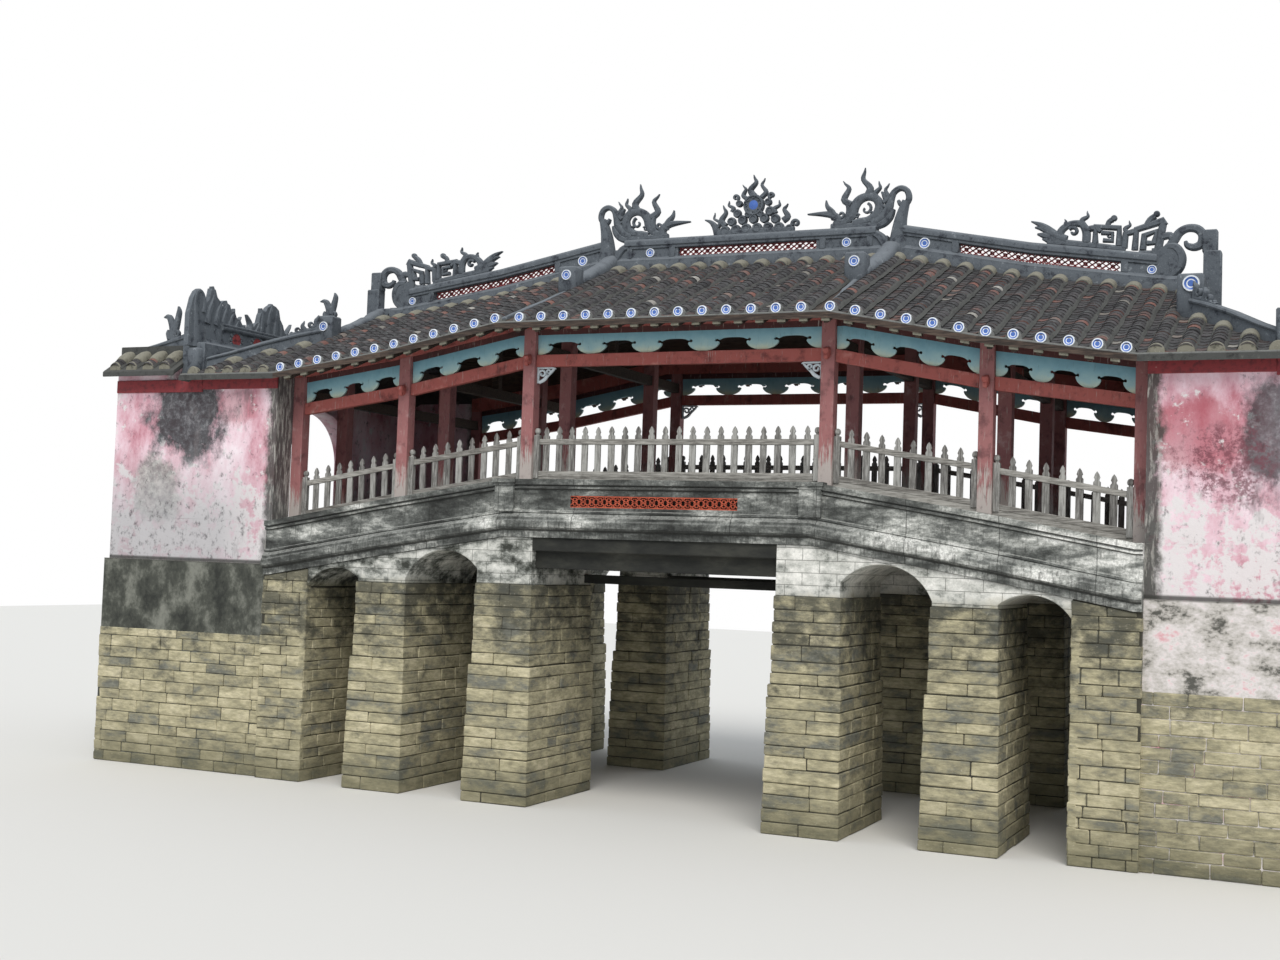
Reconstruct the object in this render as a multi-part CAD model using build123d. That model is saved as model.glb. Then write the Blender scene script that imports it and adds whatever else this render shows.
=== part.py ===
"""Roofed footbridge on masonry arches: five open bays between two plastered gatehouses.

X runs along the bridge, Y across it and Z up. Z is 0 at the foot of the piers, in the water,
and X and Y are 0 in the middle. Everything is in millimetres.
"""

import os

from build123d import *

os.makedirs("parts", exist_ok=True)

# Lengths along the bridge
central_bay = 5000.0  # column to column over the wide opening
inner_side_bay = 2350.0
outer_side_bay = 2130.0  # to the columns that stand against the gatehouses
gatehouse_length = 2015.0  # from the last bay to the street face of the gateway wall
wing_length = 1500.0  # side walls that run on past the gateway wall
coping_overhang = 100.0

# Widths across the bridge
row_outer = 3000.0  # middle of the outer columns from the middle of the walkway
row_inner = 1700.0
column_size = 210.0
base_projection = 700.0  # face of the arches beyond the middle of the outer columns
pier_depth = 2100.0
gatehouse_projection = 550.0
plinth_step = 60.0
eave_projection = 850.0

# Levels
deck_top = 5040.0
deck_fall_inner = 375.0  # fall of the walkway over each side bay
deck_fall_outer = 375.0
deck_thickness = 200.0
plinth_top = 3560.0
headroom = 1840.0  # deck to the underside of the lintels
lintel_height = 195.0
lintel_fall_inner = 455.0
lintel_fall_outer = 300.0
frieze_height = 415.0
plate_height = 194.0  # outer face of the eave plates
eave_fall_inner = 410.0  # fall of plates, roof and ridge over each side bay
eave_fall_outer = 305.0

# Piers, arches and mouldings
opening_half = 2000.0  # half the clear water opening under the middle bay
inner_pier_width = 970.0
wide_arch_span = 1320.0
outer_pier_width = 910.0
narrow_arch_span = 1000.0
pier_step_level = 2130.0
pier_step = 45.0
pier_batter = 30.0
cornice_depth = 905.0
crown_cover = 65.0  # stone between the cornice and the crowns of the arches
wide_arch_rise = 380.0  # from the springing line to the level of the crown
narrow_arch_rise = 240.0
wide_arch_jamb = 215.0  # upright stretch between the top of the pier and the springing
narrow_arch_jamb = 53.4

# Timber
lintel_thickness = 120.0
frieze_thickness = 40.0
purlin_width = 160.0
purlin_height = 180.0
frame_width = 140.0
frame_height = 180.0
frame_above_lintel = 40.0
tenon = 60.0  # column tops run this far past the underside of the timber they carry

# Fences
rail_height = 88.0
rail_thickness = 60.0
bottom_rail_gap = 80.0  # deck to the underside of the bottom rail
top_rail_level = 680.0  # deck to the top of the top rail
picket_tip_level = 885.0
picket_width = 100.0
picket_thickness = 30.0
picket_point = 90.0
picket_pitch = 230.0
fence_post_size = 90.0
fence_post_level = 850.0

# Roof
roof_slope = 0.395  # rise for each unit of run
roof_thickness = 90.0
roll_pitch_center = 385.0  # rows of barrel tiles over the middle bay
roll_pitch_side = 372.5
roll_width = 240.0
roll_crown_width = 110.0
roll_height = 90.0
roll_setback = 50.0  # behind the edge of the eave
roll_gap = 15.0  # between the bands and the first row beside them
roll_bedding = 15.0  # depth of the rows in the tile bed
ridge_base_width = 300.0
ridge_wall_width = 160.0
ridge_base_height = 190.0
ridge_lattice_height = 150.0
ridge_cap_height = 190.0
ridge_cap_width = 240.0
ridge_pillar_width = 260.0  # pillars at the ends of the middle ridge
roof_turn_beyond = 220.0  # from the inner columns to where plates, roof and ridge begin to fall
ridge_wall_beyond = 170.0  # side ridge past the end columns
ridge_pier_width = 230.0
ornament_thickness = 120.0
band_width = 220.0
band_height = 220.0
band_block = 330.0
band_block_height = 480.0
band_block_y = 1750.0

# Gatehouses
gateway_wall = 400.0
doorway_width = 2000.0
doorway_spring = 1200.0
gateway_wall_top = 7350.0
gable_beyond = 520.0  # gable of the gatehouse roof past the end columns
hip_foot_back = 120.0  # foot of the hip from the street face of the gateway wall
coping_ridge = 7200.0
coping_eave = 6850.0
coping_overlap = 260.0  # coping past the inner face of the wing walls

# Positions that follow
column_inner_x = central_bay / 2
column_outer_x = column_inner_x + inner_side_bay
column_end_x = column_outer_x + outer_side_bay
half_column = column_size / 2
gate_face_x = column_end_x + half_column
gate_wall_x = gate_face_x + gatehouse_length
gate_room_x = gate_wall_x - gateway_wall
wing_x = gate_wall_x + wing_length
base_half_width = row_outer + base_projection
gatehouse_half_width = row_outer + gatehouse_projection
eave_half_width = row_outer + eave_projection
cornice_back = row_outer - half_column
column_face = row_outer + half_column
pier_back = base_half_width - pier_depth
inner_pier_end = opening_half + inner_pier_width
outer_pier_start = inner_pier_end + wide_arch_span
outer_pier_end = outer_pier_start + outer_pier_width
abutment_x = outer_pier_end + narrow_arch_span
lintel_bottom = deck_top + headroom
lintel_top = lintel_bottom + lintel_height
plate_bottom = lintel_top + frieze_height
arch_crown_below_deck = cornice_depth + crown_cover
wide_spring_below_deck = arch_crown_below_deck + wide_arch_rise
narrow_spring_below_deck = arch_crown_below_deck + narrow_arch_rise
ridge_half = ridge_base_width / 2
roof_turn_x = column_inner_x + roof_turn_beyond
turns = (column_inner_x, roof_turn_x, column_outer_x, column_end_x)
column_lines = (column_inner_x, column_outer_x, column_end_x)


def fall(x, inner_fall, outer_fall, turn_x=column_inner_x):
    """How far a line that is level as far as turn_x has come down at x."""
    away = abs(x)
    inner_run = column_outer_x - turn_x
    inner_part = min(max(away - turn_x, 0.0), inner_run) / inner_run
    outer_part = min(max(away - column_outer_x, 0.0), outer_side_bay) / outer_side_bay
    return -inner_part * inner_fall - outer_part * outer_fall


def deck_line(x):
    return fall(x, deck_fall_inner, deck_fall_outer)


def lintel_line(x):
    return fall(x, lintel_fall_inner, lintel_fall_outer)


def eave_line(x):
    return fall(x, eave_fall_inner, eave_fall_outer, roof_turn_x)


def roof_under(y):
    """Level of the underside of the tile bed over the middle bay."""
    return plate_bottom + plate_height + roof_slope * (column_face - abs(y))


def roof_top(y):
    return roof_under(y) + roof_thickness


def block(x_a, x_b, y_a, y_b, z_a, z_b):
    return Pos(x_a, y_a, z_a) * Solid.make_box(x_b - x_a, y_b - y_a, z_b - z_a)


def outline_along_y(points, y_a, y_b):
    """Extrudes an outline given in X and Z from y_a to y_b."""
    face = Face(Wire.make_polygon([Vector(x, y_a, z) for x, z in points], close=True))
    return Solid.extrude(face, Vector(0, y_b - y_a, 0))


def outline_along_x(points, x_a, x_b):
    """Extrudes an outline given in Y and Z from x_a to x_b."""
    face = Face(Wire.make_polygon([Vector(x_a, y, z) for y, z in points], close=True))
    return Solid.extrude(face, Vector(x_b - x_a, 0, 0))


def section_run(points, x_a, x_b, line):
    """Extrudes a section given in Y and Z along X, following a line that breaks at its turns."""
    breaks = sorted({x_a, x_b, *(s * turn for s in (-1, 1) for turn in turns if x_a < s * turn < x_b)})
    pieces = []
    for start, stop in zip(breaks, breaks[1:]):
        face = Face(Wire.make_polygon([Vector(start, y, z + line(start)) for y, z in points], close=True))
        pieces.append(Solid.extrude(face, Vector(stop - start, 0, line(stop) - line(start))))
    return pieces[0] if len(pieces) == 1 else pieces[0].fuse(*pieces[1:]).clean()


def across(shape):
    """The same shape on the far side of the walkway."""
    return shape.mirror(Plane.XZ)


def along(shape):
    """The same shape at the other end of the bridge."""
    return shape.mirror(Plane.YZ)


def save(name, *shapes):
    solids = [solid for shape in shapes for solid in shape.solids()]
    export_step(Compound(solids), f"parts/{name}.step")


# Piers: ashlar, a little battered, with a wider foot below the step


def pier_outline(a, b, top):
    """One elevation of a pier that is a to b wide at the top."""
    foot = [(pier_step + pier_batter, 0.0), (pier_step, pier_step_level)]
    sides = [*foot, (pier_batter / 2, pier_step_level), (0.0, top)]
    return [(a - grow, z) for grow, z in sides] + [(b + grow, z) for grow, z in reversed(sides)]


def pier(x_a, x_b, top):
    reach = base_half_width + pier_step + pier_batter
    front = outline_along_y(pier_outline(x_a, x_b, top), -reach, 0.0)
    side = outline_along_x(pier_outline(-base_half_width, -pier_back, top), x_a - pier_depth, x_b + pier_depth)
    return front & side


inner_pier_top = deck_top + deck_line(inner_pier_end) - wide_spring_below_deck - wide_arch_jamb
outer_pier_top = deck_top + deck_line(outer_pier_end) - narrow_spring_below_deck - narrow_arch_jamb
inner_pier = pier(opening_half, inner_pier_end, inner_pier_top)
outer_pier = pier(outer_pier_start, outer_pier_end, outer_pier_top)
save("pier_inner_right", inner_pier, across(inner_pier))
save("pier_inner_left", along(inner_pier), across(along(inner_pier)))
save("pier_outer_right", outer_pier, across(outer_pier))
save("pier_outer_left", along(outer_pier), across(along(outer_pier)))

# Arch walls: two arches each, carried by the piers and the abutment


def arch_edge(x_a, x_b, spring_below):
    middle = (x_a + x_b) / 2
    start = Vector(x_a, 0, deck_top + deck_line(x_a) - spring_below)
    crown = Vector(middle, 0, deck_top + deck_line(middle) - arch_crown_below_deck)
    end = Vector(x_b, 0, deck_top + deck_line(x_b) - spring_below)
    return Edge.make_three_point_arc(start, crown, end)


def arch_wall():
    wide = arch_edge(inner_pier_end, outer_pier_start, wide_spring_below_deck)
    narrow = arch_edge(outer_pier_end, abutment_x, narrow_spring_below_deck)
    layers = []
    for y_a, y_b, below in (
        (-base_half_width, -cornice_back, cornice_depth),
        (-cornice_back, -pier_back, deck_thickness),
    ):
        inner_foot = [Vector(x, 0, inner_pier_top) for x in (opening_half, inner_pier_end)]
        outer_foot = [Vector(x, 0, outer_pier_top) for x in (outer_pier_start, outer_pier_end)]
        breaks = (abutment_x, column_outer_x, column_inner_x, opening_half)
        top = [Vector(x, 0, deck_top + deck_line(x) - below) for x in breaks]
        chains = (
            [*inner_foot, wide @ 0], [wide @ 1, *outer_foot, narrow @ 0], [narrow @ 1, *top, inner_foot[0]]
        )
        lines = [edge for chain in chains for edge in Wire.make_polygon(chain, close=False).edges()]
        face = Face(Wire([*lines, wide, narrow]))
        layers.append(Pos(0, y_a, 0) * Solid.extrude(face, Vector(0, y_b - y_a, 0)))
    return layers[0].fuse(layers[1]).clean()


# Beams under the middle bay, let into the arch walls
beam_pocket = 250.0
edge_beam_setback = 140.0  # behind the face of the arches
edge_beam_width = 400.0
edge_beam_height = 270.0
edge_slab_height = 205.0
floor_beam_inset = 300.0  # beyond the back of the piers
floor_beam_width = 400.0
floor_beam_height = 400.0
tie_inset = 100.0
tie_width = 150.0
tie_height = 140.0
tie_below_deck = 1470.0

edge_slab_top = deck_top - cornice_depth
edge_slab_bottom = edge_slab_top - edge_slab_height
edge_beam_front = base_half_width - edge_beam_setback
floor_beam_back = pier_back + floor_beam_inset
tie_back = pier_back + tie_inset
tie_top = deck_top - tie_below_deck
beam_end = opening_half + beam_pocket
edge_beam = block(
    -beam_end, beam_end, -edge_beam_front, -edge_beam_front + edge_beam_width,
    edge_slab_bottom - edge_beam_height, edge_slab_bottom,
)
edge_slab = block(
    -opening_half, opening_half, -base_half_width, -cornice_back, edge_slab_bottom, edge_slab_top
)
floor_beam = block(
    -beam_end, beam_end, -floor_beam_back - floor_beam_width, -floor_beam_back,
    deck_top - deck_thickness - floor_beam_height, deck_top - deck_thickness,
)
tie = block(-opening_half, opening_half, -tie_back - tie_width, -tie_back, tie_top - tie_height, tie_top)
edge = edge_beam.fuse(edge_slab).clean()
save("middle_beams", *(s for b in (edge, floor_beam, tie) for s in (b, across(b))))

right_arches = arch_wall() - edge_beam - floor_beam
left_arches = along(right_arches)
save("arch_wall_front_right", right_arches)
save("arch_wall_front_left", left_arches)
save("arch_wall_rear_right", across(right_arches))
save("arch_wall_rear_left", across(left_arches))

# Abutments: the mass under each gatehouse, with its plinth, and the last stone before the arches
floor_level = deck_top + deck_line(gate_face_x)


def abutment():
    low = [
        (abutment_x, 0), (gate_face_x, 0),
        (gate_face_x, floor_level - cornice_depth),
        (column_end_x, floor_level - cornice_depth),
        (abutment_x, deck_top + deck_line(abutment_x) - cornice_depth),
    ]
    high = [
        (abutment_x, 0), (gate_face_x, 0), (gate_face_x, floor_level - deck_thickness),
        (column_end_x, floor_level - deck_thickness),
        (abutment_x, deck_top + deck_line(abutment_x) - deck_thickness),
    ]
    plinth_half = gatehouse_half_width + plinth_step
    plinth = block(gate_face_x, wing_x + plinth_step, -plinth_half, plinth_half, 0, plinth_top)
    core = block(gate_face_x, wing_x, -gatehouse_half_width, gatehouse_half_width, plinth_top, floor_level)
    stone = outline_along_y(low, -base_half_width, base_half_width)
    fill = outline_along_y(high, -cornice_back, cornice_back)
    return stone.fuse(fill, plinth, core).clean()


right_abutment = abutment()
save("abutment_right", right_abutment)
save("abutment_left", along(right_abutment))

# Deck
deck_section = [
    (-cornice_back, deck_top - deck_thickness), (cornice_back, deck_top - deck_thickness),
    (cornice_back, deck_top), (-cornice_back, deck_top),
]
deck_center = section_run(deck_section, -column_inner_x, column_inner_x, deck_line)
deck_right = section_run(deck_section, column_inner_x, gate_face_x, deck_line)
save("deck_center", deck_center)
save("deck_right", deck_right)
save("deck_left", along(deck_right))

# Cornice: moulded stone edge that the outer columns and fences stand on
ledge_out = 60.0  # the profile goes out from the face of the arches and down from the deck
fillet_out = 30.0
band_out = -10.0
bead_out = 25.0
cyma_out = 85.0
torus_out = 105.0
foot_out = 40.0
ledge_height = 85.0
band_top = 165.0
band_bottom = 475.0
torus_top = 640.0
torus_bottom = 760.0

cornice_profile = [
    (ledge_out, 0.0), (ledge_out, ledge_height), (fillet_out - 20, ledge_height + 20),
    (fillet_out, ledge_height + 35), (fillet_out, ledge_height + 60), (band_out, band_top),
    (band_out, band_bottom), (bead_out, band_bottom + 15), (bead_out, band_bottom + 45),
    (bead_out - 15, band_bottom + 55), (cyma_out - 30, torus_top - 75),
    (cyma_out, torus_top - 50), (cyma_out, torus_top - 15), (torus_out, torus_top + 15),
    (torus_out, torus_bottom - 15), (cyma_out, torus_bottom + 15), (foot_out, torus_bottom + 45),
    (foot_out, cornice_depth),
]
cornice_section = [
    (-cornice_back, deck_top),
    *((-base_half_width - out, deck_top - down) for out, down in cornice_profile),
    (-cornice_back, deck_top - cornice_depth),
]
vent_half_length = 1370.0
vent_top_below_deck = 250.0
vent_bottom_below_deck = 430.0
vent_recess = 120.0
band_face = base_half_width + band_out
vent_hole = block(
    -vent_half_length, vent_half_length, -band_face, -band_face + vent_recess,
    deck_top - vent_bottom_below_deck, deck_top - vent_top_below_deck,
)

# Pilasters on the band under the inner columns
pilaster_half_width = 165.0
pilaster_out = 70.0
pilaster_cap_out = 105.0
pilaster_cap_grow = 40.0
pilaster_cap_height = 60.0
pilaster_neck_height = 45.0


def pilaster():
    neck_top = deck_top - pilaster_cap_height
    neck_bottom = neck_top - pilaster_neck_height
    parts = []
    for grow, out, low, high in (
        (pilaster_cap_grow, pilaster_cap_out, neck_top, deck_top),
        (pilaster_cap_grow / 2, ledge_out + 20, neck_bottom, neck_top),
        (0.0, pilaster_out, deck_top - band_bottom - 30, neck_bottom),
    ):
        half = pilaster_half_width + grow
        front, back = -base_half_width - out, -base_half_width + half_column
        parts.append(block(column_inner_x - half, column_inner_x + half, front, back, low, high))
    return parts[0].fuse(*parts[1:])


cornice = section_run(cornice_section, -gate_face_x, gate_face_x, deck_line) - vent_hole
cornice = cornice.fuse(pilaster(), along(pilaster())).clean()
save("cornice_front", cornice)
save("cornice_rear", across(cornice))

# Terracotta grille in the middle of the base
grille_thickness = 60.0
grille_setback = 25.0
grille_cell_count = 10
grille_bar = 34.0


def vent_grille():
    front = -band_face + grille_setback
    low = deck_top - vent_bottom_below_deck
    high = deck_top - vent_top_below_deck
    panel = block(-vent_half_length, vent_half_length, front, front + grille_thickness, low, high)
    pitch = 2 * vent_half_length / grille_cell_count
    level = (low + high) / 2
    half_x = (pitch - grille_bar) / 2
    half_z = (high - low) / 2 - grille_bar
    holes = []
    for cell in range(grille_cell_count):
        x = -vent_half_length + pitch * (cell + 0.5)
        lozenge = [(x - half_x, level), (x, level - half_z), (x + half_x, level), (x, level + half_z)]
        holes.append(outline_along_y(lozenge, front, front + grille_thickness))
    return panel.cut(*holes)


grille = vent_grille()
save("base_grilles", grille, across(grille))

# Roof timbers: plates on the outer columns, purlins over the inner ones and at the ridge


timber_end = column_end_x + half_column
half_purlin = purlin_width / 2


def run_under_roof(middle, width, bottom):
    near, far = middle - width / 2, middle + width / 2
    section = [(near, bottom), (far, bottom), (far, roof_under(far)), (near, roof_under(near))]
    return section_run(section, -timber_end, timber_end, eave_line)


plate = run_under_roof(-row_outer, column_size, plate_bottom)
purlin = run_under_roof(-row_inner, purlin_width, roof_under(row_inner + half_purlin) - purlin_height)
ridge_under = roof_under(ridge_half)
ridge_purlin_section = [
    (-half_purlin, ridge_under - purlin_height), (half_purlin, ridge_under - purlin_height),
    (half_purlin, ridge_under), (-half_purlin, ridge_under),
]
ridge_purlin = section_run(ridge_purlin_section, -timber_end, timber_end, eave_line)
save("eave_plates", plate, across(plate))
save("purlins", purlin, across(purlin), ridge_purlin)

# Columns and cross frames
all_lines = [s * x for x in column_lines for s in (-1, 1)]
frame_low = lintel_top + frame_above_lintel


def post(x, y, size, low, high):
    return block(x - size / 2, x + size / 2, y - size / 2, y + size / 2, low, high)


def cross_beam(x):
    low = frame_low + eave_line(x)
    half = frame_width / 2
    return block(x - half, x + half, -cornice_back, cornice_back, low, low + frame_height)


def outer_column(x):
    low = deck_top + deck_line(x) - column_size
    trimmed = post(x, -row_outer, column_size, low, plate_bottom + eave_line(x) + tenon) - plate - cornice
    return trimmed - right_abutment - along(right_abutment) if abs(x) == column_end_x else trimmed


def inner_column(x):
    top = roof_under(row_inner) + eave_line(x) - purlin_height + tenon
    solid = post(x, -row_inner, column_size, deck_top + deck_line(x) - deck_thickness / 2, top) - purlin
    for under in (deck_center, deck_right, along(deck_right)):
        solid = solid - under
    if abs(x) == column_end_x:
        solid = solid - right_abutment - along(right_abutment)
    return solid - cross_beam(x)


def cross_frame(x):
    low = frame_low + eave_line(x)
    king = post(x, 0, frame_width, low, ridge_under + eave_line(x) - purlin_height + tenon) - ridge_purlin
    return cross_beam(x).fuse(king).clean()


outer_columns = [outer_column(x) for x in all_lines]
inner_columns = [inner_column(x) for x in all_lines]
save("outer_columns", *outer_columns, *(across(c) for c in outer_columns))
save("inner_columns", *inner_columns, *(across(c) for c in inner_columns))
save("cross_frames", *(cross_frame(x) for x in all_lines))

# Lintels and carved friezes between the outer columns
bays = [
    (-column_end_x, -column_outer_x), (-column_outer_x, -column_inner_x), (-column_inner_x, column_inner_x),
    (column_inner_x, column_outer_x), (column_outer_x, column_end_x),
]
center_opening_count = 5
side_opening_count = 3
frieze_opening_height = 225.0
# Half of one opening, as a share of the pitch and of the height: waisted side and the horn above it
frieze_half_opening = [(0.40, 0.0), (0.28, 0.5), (0.35, 1.0)]


def frieze(x_a, x_b):
    front, back = -row_outer - frieze_thickness / 2, -row_outer + frieze_thickness / 2
    upper = [x for x in (x_b, roof_turn_x, -roof_turn_x, x_a) if x_a <= x <= x_b]
    board = outline_along_y(
        [
            (x_a, lintel_top + lintel_line(x_a)), (x_b, lintel_top + lintel_line(x_b)),
            *((x, plate_bottom + eave_line(x)) for x in upper),
        ],
        front, back,
    )
    count = center_opening_count if x_a < 0 < x_b else side_opening_count
    pitch = (x_b - x_a) / count
    opening = frieze_half_opening + [(-share, rise) for share, rise in reversed(frieze_half_opening)]
    holes = []
    for i in range(count):
        points = []
        for share, rise in opening:
            x = x_a + pitch * (i + 0.5 + share)
            points.append((x, lintel_top + lintel_line(x) + rise * frieze_opening_height))
        holes.append(outline_along_y(points, front, back))
    return board.cut(*holes)


lintels = []
friezes = []
for start, stop in bays:
    x_a, x_b = start + half_column, stop - half_column
    half = lintel_thickness / 2
    lintel_section = [
        (-row_outer - half, lintel_bottom), (-row_outer + half, lintel_bottom),
        (-row_outer + half, lintel_top), (-row_outer - half, lintel_top),
    ]
    lintels.append(section_run(lintel_section, x_a, x_b, lintel_line))
    friezes.append(frieze(x_a, x_b))
save("lintels", *lintels, *(across(s) for s in lintels))
save("friezes", *friezes, *(across(s) for s in friezes))

# Picket fences between the outer columns, each with an end post against both columns
post_knob = 75.0
post_top = 60.0  # width of an end post at the top of its knob


def fence_post(x_a, x_b):
    middle = (x_a + x_b) / 2
    level = deck_top + deck_line(middle)
    top = level + fence_post_level
    points = [
        (x_a, level + bottom_rail_gap), (x_b, level + bottom_rail_gap), (x_b, top - post_knob),
        (middle + post_top / 2, top), (middle - post_top / 2, top), (x_a, top - post_knob),
    ]
    return outline_along_y(points, -row_outer - fence_post_size / 2, -row_outer + fence_post_size / 2)


def fence(start, stop):
    x_a, x_b = start + half_column, stop - half_column
    front, back = -row_outer - rail_thickness / 2, -row_outer + rail_thickness / 2
    bars = [fence_post(x_a, x_a + fence_post_size), fence_post(x_b - fence_post_size, x_b)]
    for low in (deck_top + bottom_rail_gap, deck_top + top_rail_level - rail_height):
        high = low + rail_height
        section = [(front, low), (back, low), (back, high), (front, high)]
        bars.append(section_run(section, x_a, x_b, deck_line))
    count = int((x_b - x_a - 2 * fence_post_size) / picket_pitch)
    first = (x_a + x_b) / 2 - picket_pitch * (count - 1) / 2
    half = picket_width / 2
    for i in range(count):
        x = first + picket_pitch * i
        level = deck_top + deck_line(x)
        foot = level + bottom_rail_gap + rail_height / 2
        tip = level + picket_tip_level
        shoulder = tip - picket_point
        points = [(x - half, foot), (x + half, foot), (x + half, shoulder), (x, tip), (x - half, shoulder)]
        front = -row_outer - picket_thickness / 2
        bars.append(outline_along_y(points, front, front + picket_thickness))
    return bars[0].fuse(*bars[1:]).clean()


for name, (start, stop) in zip(("outer_left", "inner_left", "center", "inner_right", "outer_right"), bays):
    panel = fence(start, stop)
    save(f"fence_front_{name}", panel)
    save(f"fence_rear_{name}", across(panel))

# Ridge walls: base, pierced band and moulded cap
apex = roof_top(0)
ridge_base_top = apex + ridge_base_height
ridge_lattice_top = ridge_base_top + ridge_lattice_height
ridge_top = ridge_lattice_top + ridge_cap_height
cap_fillet = 60.0
base_splay = 60.0
half_wall = ridge_wall_width / 2
half_cap = ridge_cap_width / 2
ridge_half_section = [
    (ridge_half, ridge_under), (ridge_half, ridge_base_top - base_splay), (half_wall, ridge_base_top),
    (half_wall, ridge_lattice_top), (half_cap, ridge_lattice_top + cap_fillet), (half_cap, ridge_top),
]
ridge_section = [(-y, z) for y, z in ridge_half_section] + list(reversed(ridge_half_section))
lattice_cell = 210.0
lattice_bar = 30.0
half_ornament = ornament_thickness / 2


def pierced(wall, x_a, x_b):
    """Cuts a row of lozenges through a ridge wall between x_a and x_b."""
    count = int((x_b - x_a) / lattice_cell)
    start = (x_a + x_b) / 2 - lattice_cell * (count - 1) / 2
    half_x = (lattice_cell - lattice_bar) / 2
    half_z = (ridge_lattice_height - lattice_bar) / 2
    holes = []
    for i in range(count):
        x = start + lattice_cell * i
        level = (ridge_base_top + ridge_lattice_top) / 2 + eave_line(x)
        lozenge = [(x - half_x, level), (x, level - half_z), (x + half_x, level), (x, level + half_z)]
        holes.append(outline_along_y(lozenge, -half_wall, half_wall))
    return wall.cut(*holes)


def ornament(points):
    """A flat modelled piece on the ridge: its outline is given along X and up from the cap."""
    outline = [(x, ridge_top + eave_line(x) + up) for x, up in points]
    return outline_along_y(outline, -half_ornament, half_ornament)


def eye(x, up, radius):
    """A six-sided hole through an ornament."""
    ring = [(1, 0), (0.5, 0.87), (-0.5, 0.87), (-1, 0), (-0.5, -0.87), (0.5, -0.87)]
    return ornament([(x + radius * c, up + radius * s) for c, s in ring])


# Middle ridge: a stepped crest with flames in the middle and a dragon towards each end
center_lattice_half = 1270.0
ridge_pillar_top = 100.0
crest_half = [
    (820, 0), (860, 180), (740, 110), (660, 250), (625, 440), (560, 300), (450, 340), (370, 460), (340, 660),
    (245, 560), (215, 700), (190, 930), (120, 720), (60, 760),
]
crest = ornament([*crest_half, (0, 1040), *((-x, up) for x, up in reversed(crest_half))])
pillar_x = column_inner_x + ridge_pillar_width
# The dragon is drawn back from the pillar: leaf tail, three flames and the hooked end over the pillar
dragon_points = [
    (1360, 0), (1700, 270), (1480, 480), (1400, 330), (1250, 370), (1180, 560), (1170, 800), (1020, 550),
    (890, 560), (790, 990), (700, 550), (560, 750), (500, 480), (380, 680), (340, 480), (210, 640),
    (50, 560), (0, 320), (0, 0),
]
dragon_holes = ((810, 300, 140), (190, 430, 95))
dragon = ornament([(pillar_x - back, up) for back, up in dragon_points])
for back, up, radius in dragon_holes:
    dragon = dragon - eye(pillar_x - back, up, radius)
ridge_center = section_run(ridge_section, -column_inner_x, column_inner_x, eave_line)
ridge_center = pierced(ridge_center, -center_lattice_half, center_lattice_half)
pillar_section = [
    (-ridge_half, ridge_under), (ridge_half, ridge_under),
    (ridge_half, ridge_top + ridge_pillar_top), (-ridge_half, ridge_top + ridge_pillar_top),
]
pillar = section_run(pillar_section, column_inner_x, pillar_x, eave_line)
ridge_center = ridge_center.fuse(crest, dragon, along(dragon), pillar, along(pillar)).clean()

# Side ridges: a dragon among frets, a scroll over to the end pier and a block at the foot of the pier
side_lattice_start = 1140.0  # from the inner columns
side_lattice_end = 720.0  # from the end columns
fret_points = [
    (2030, 0), (2100, 345), (1900, 250), (1740, 250), (1600, 380), (1420, 420), (1260, 575), (1180, 420),
    (1020, 400), (920, 520), (800, 520), (780, 400), (640, 460), (560, 400), (380, 430), (330, 610),
    (220, 610), (200, 500), (80, 550), (40, 380), (-60, 350), (-170, 460), (-400, 460), (-500, 380),
    (-500, 240), (-330, 240), (-360, 130), (-420, 100), (-330, 60), (-240, 160), (-150, 330), (-60, 200),
    (0, 0),
]
fret_holes = ((1440, 210, 120), (1000, 190, 90), (660, 200, 90), (330, 240, 100))
side_end_x = column_end_x + ridge_wall_beyond
pier_x = column_end_x + gable_beyond
pier_above_cap = 365.0
fret = ornament([(column_end_x - back, up) for back, up in fret_points])
for back, up, radius in fret_holes:
    fret = fret - eye(column_end_x - back, up, radius)
ridge_right = section_run(ridge_section, pillar_x, side_end_x, eave_line) - pillar
ridge_right = pierced(ridge_right, column_inner_x + side_lattice_start, column_end_x - side_lattice_end)
end_level = eave_line(column_end_x)
ridge_block = block(
    side_end_x, pier_x, -ridge_half, ridge_half, ridge_under + end_level, ridge_base_top + end_level
)
end_pier = block(
    pier_x, pier_x + ridge_pier_width, -ridge_half + 40, ridge_half - 40,
    ridge_under + end_level - roof_thickness, ridge_top + end_level + pier_above_cap,
)
ridge_right = ridge_right.fuse(fret, ridge_block, end_pier).clean()
save("ridge_center", ridge_center)
save("ridge_right", ridge_right)
save("ridge_left", along(ridge_right))

# Roof slopes over the bays, with their rows of barrel tiles


def roll(x, y_top):
    """One row of barrel tiles, from the eave up to y_top and bedded in the roof."""
    foot_y = eave_half_width - roll_setback
    half_crown = roll_crown_width / 2
    splay = roll_width / 2 - half_crown
    half_foot = half_crown + splay * (1 + roll_bedding / roll_height)
    half_section = [(half_crown, roll_height), (half_foot, -roll_bedding)]
    section = [(-out, up) for out, up in reversed(half_section)] + half_section
    corners = [Vector(x + out, -foot_y, roof_top(foot_y) + eave_line(x + out) + up) for out, up in section]
    run = Vector(0, foot_y - y_top, roof_top(y_top) - roof_top(foot_y))
    return Solid.extrude(Face(Wire.make_polygon(corners, close=True)), run)


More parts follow.
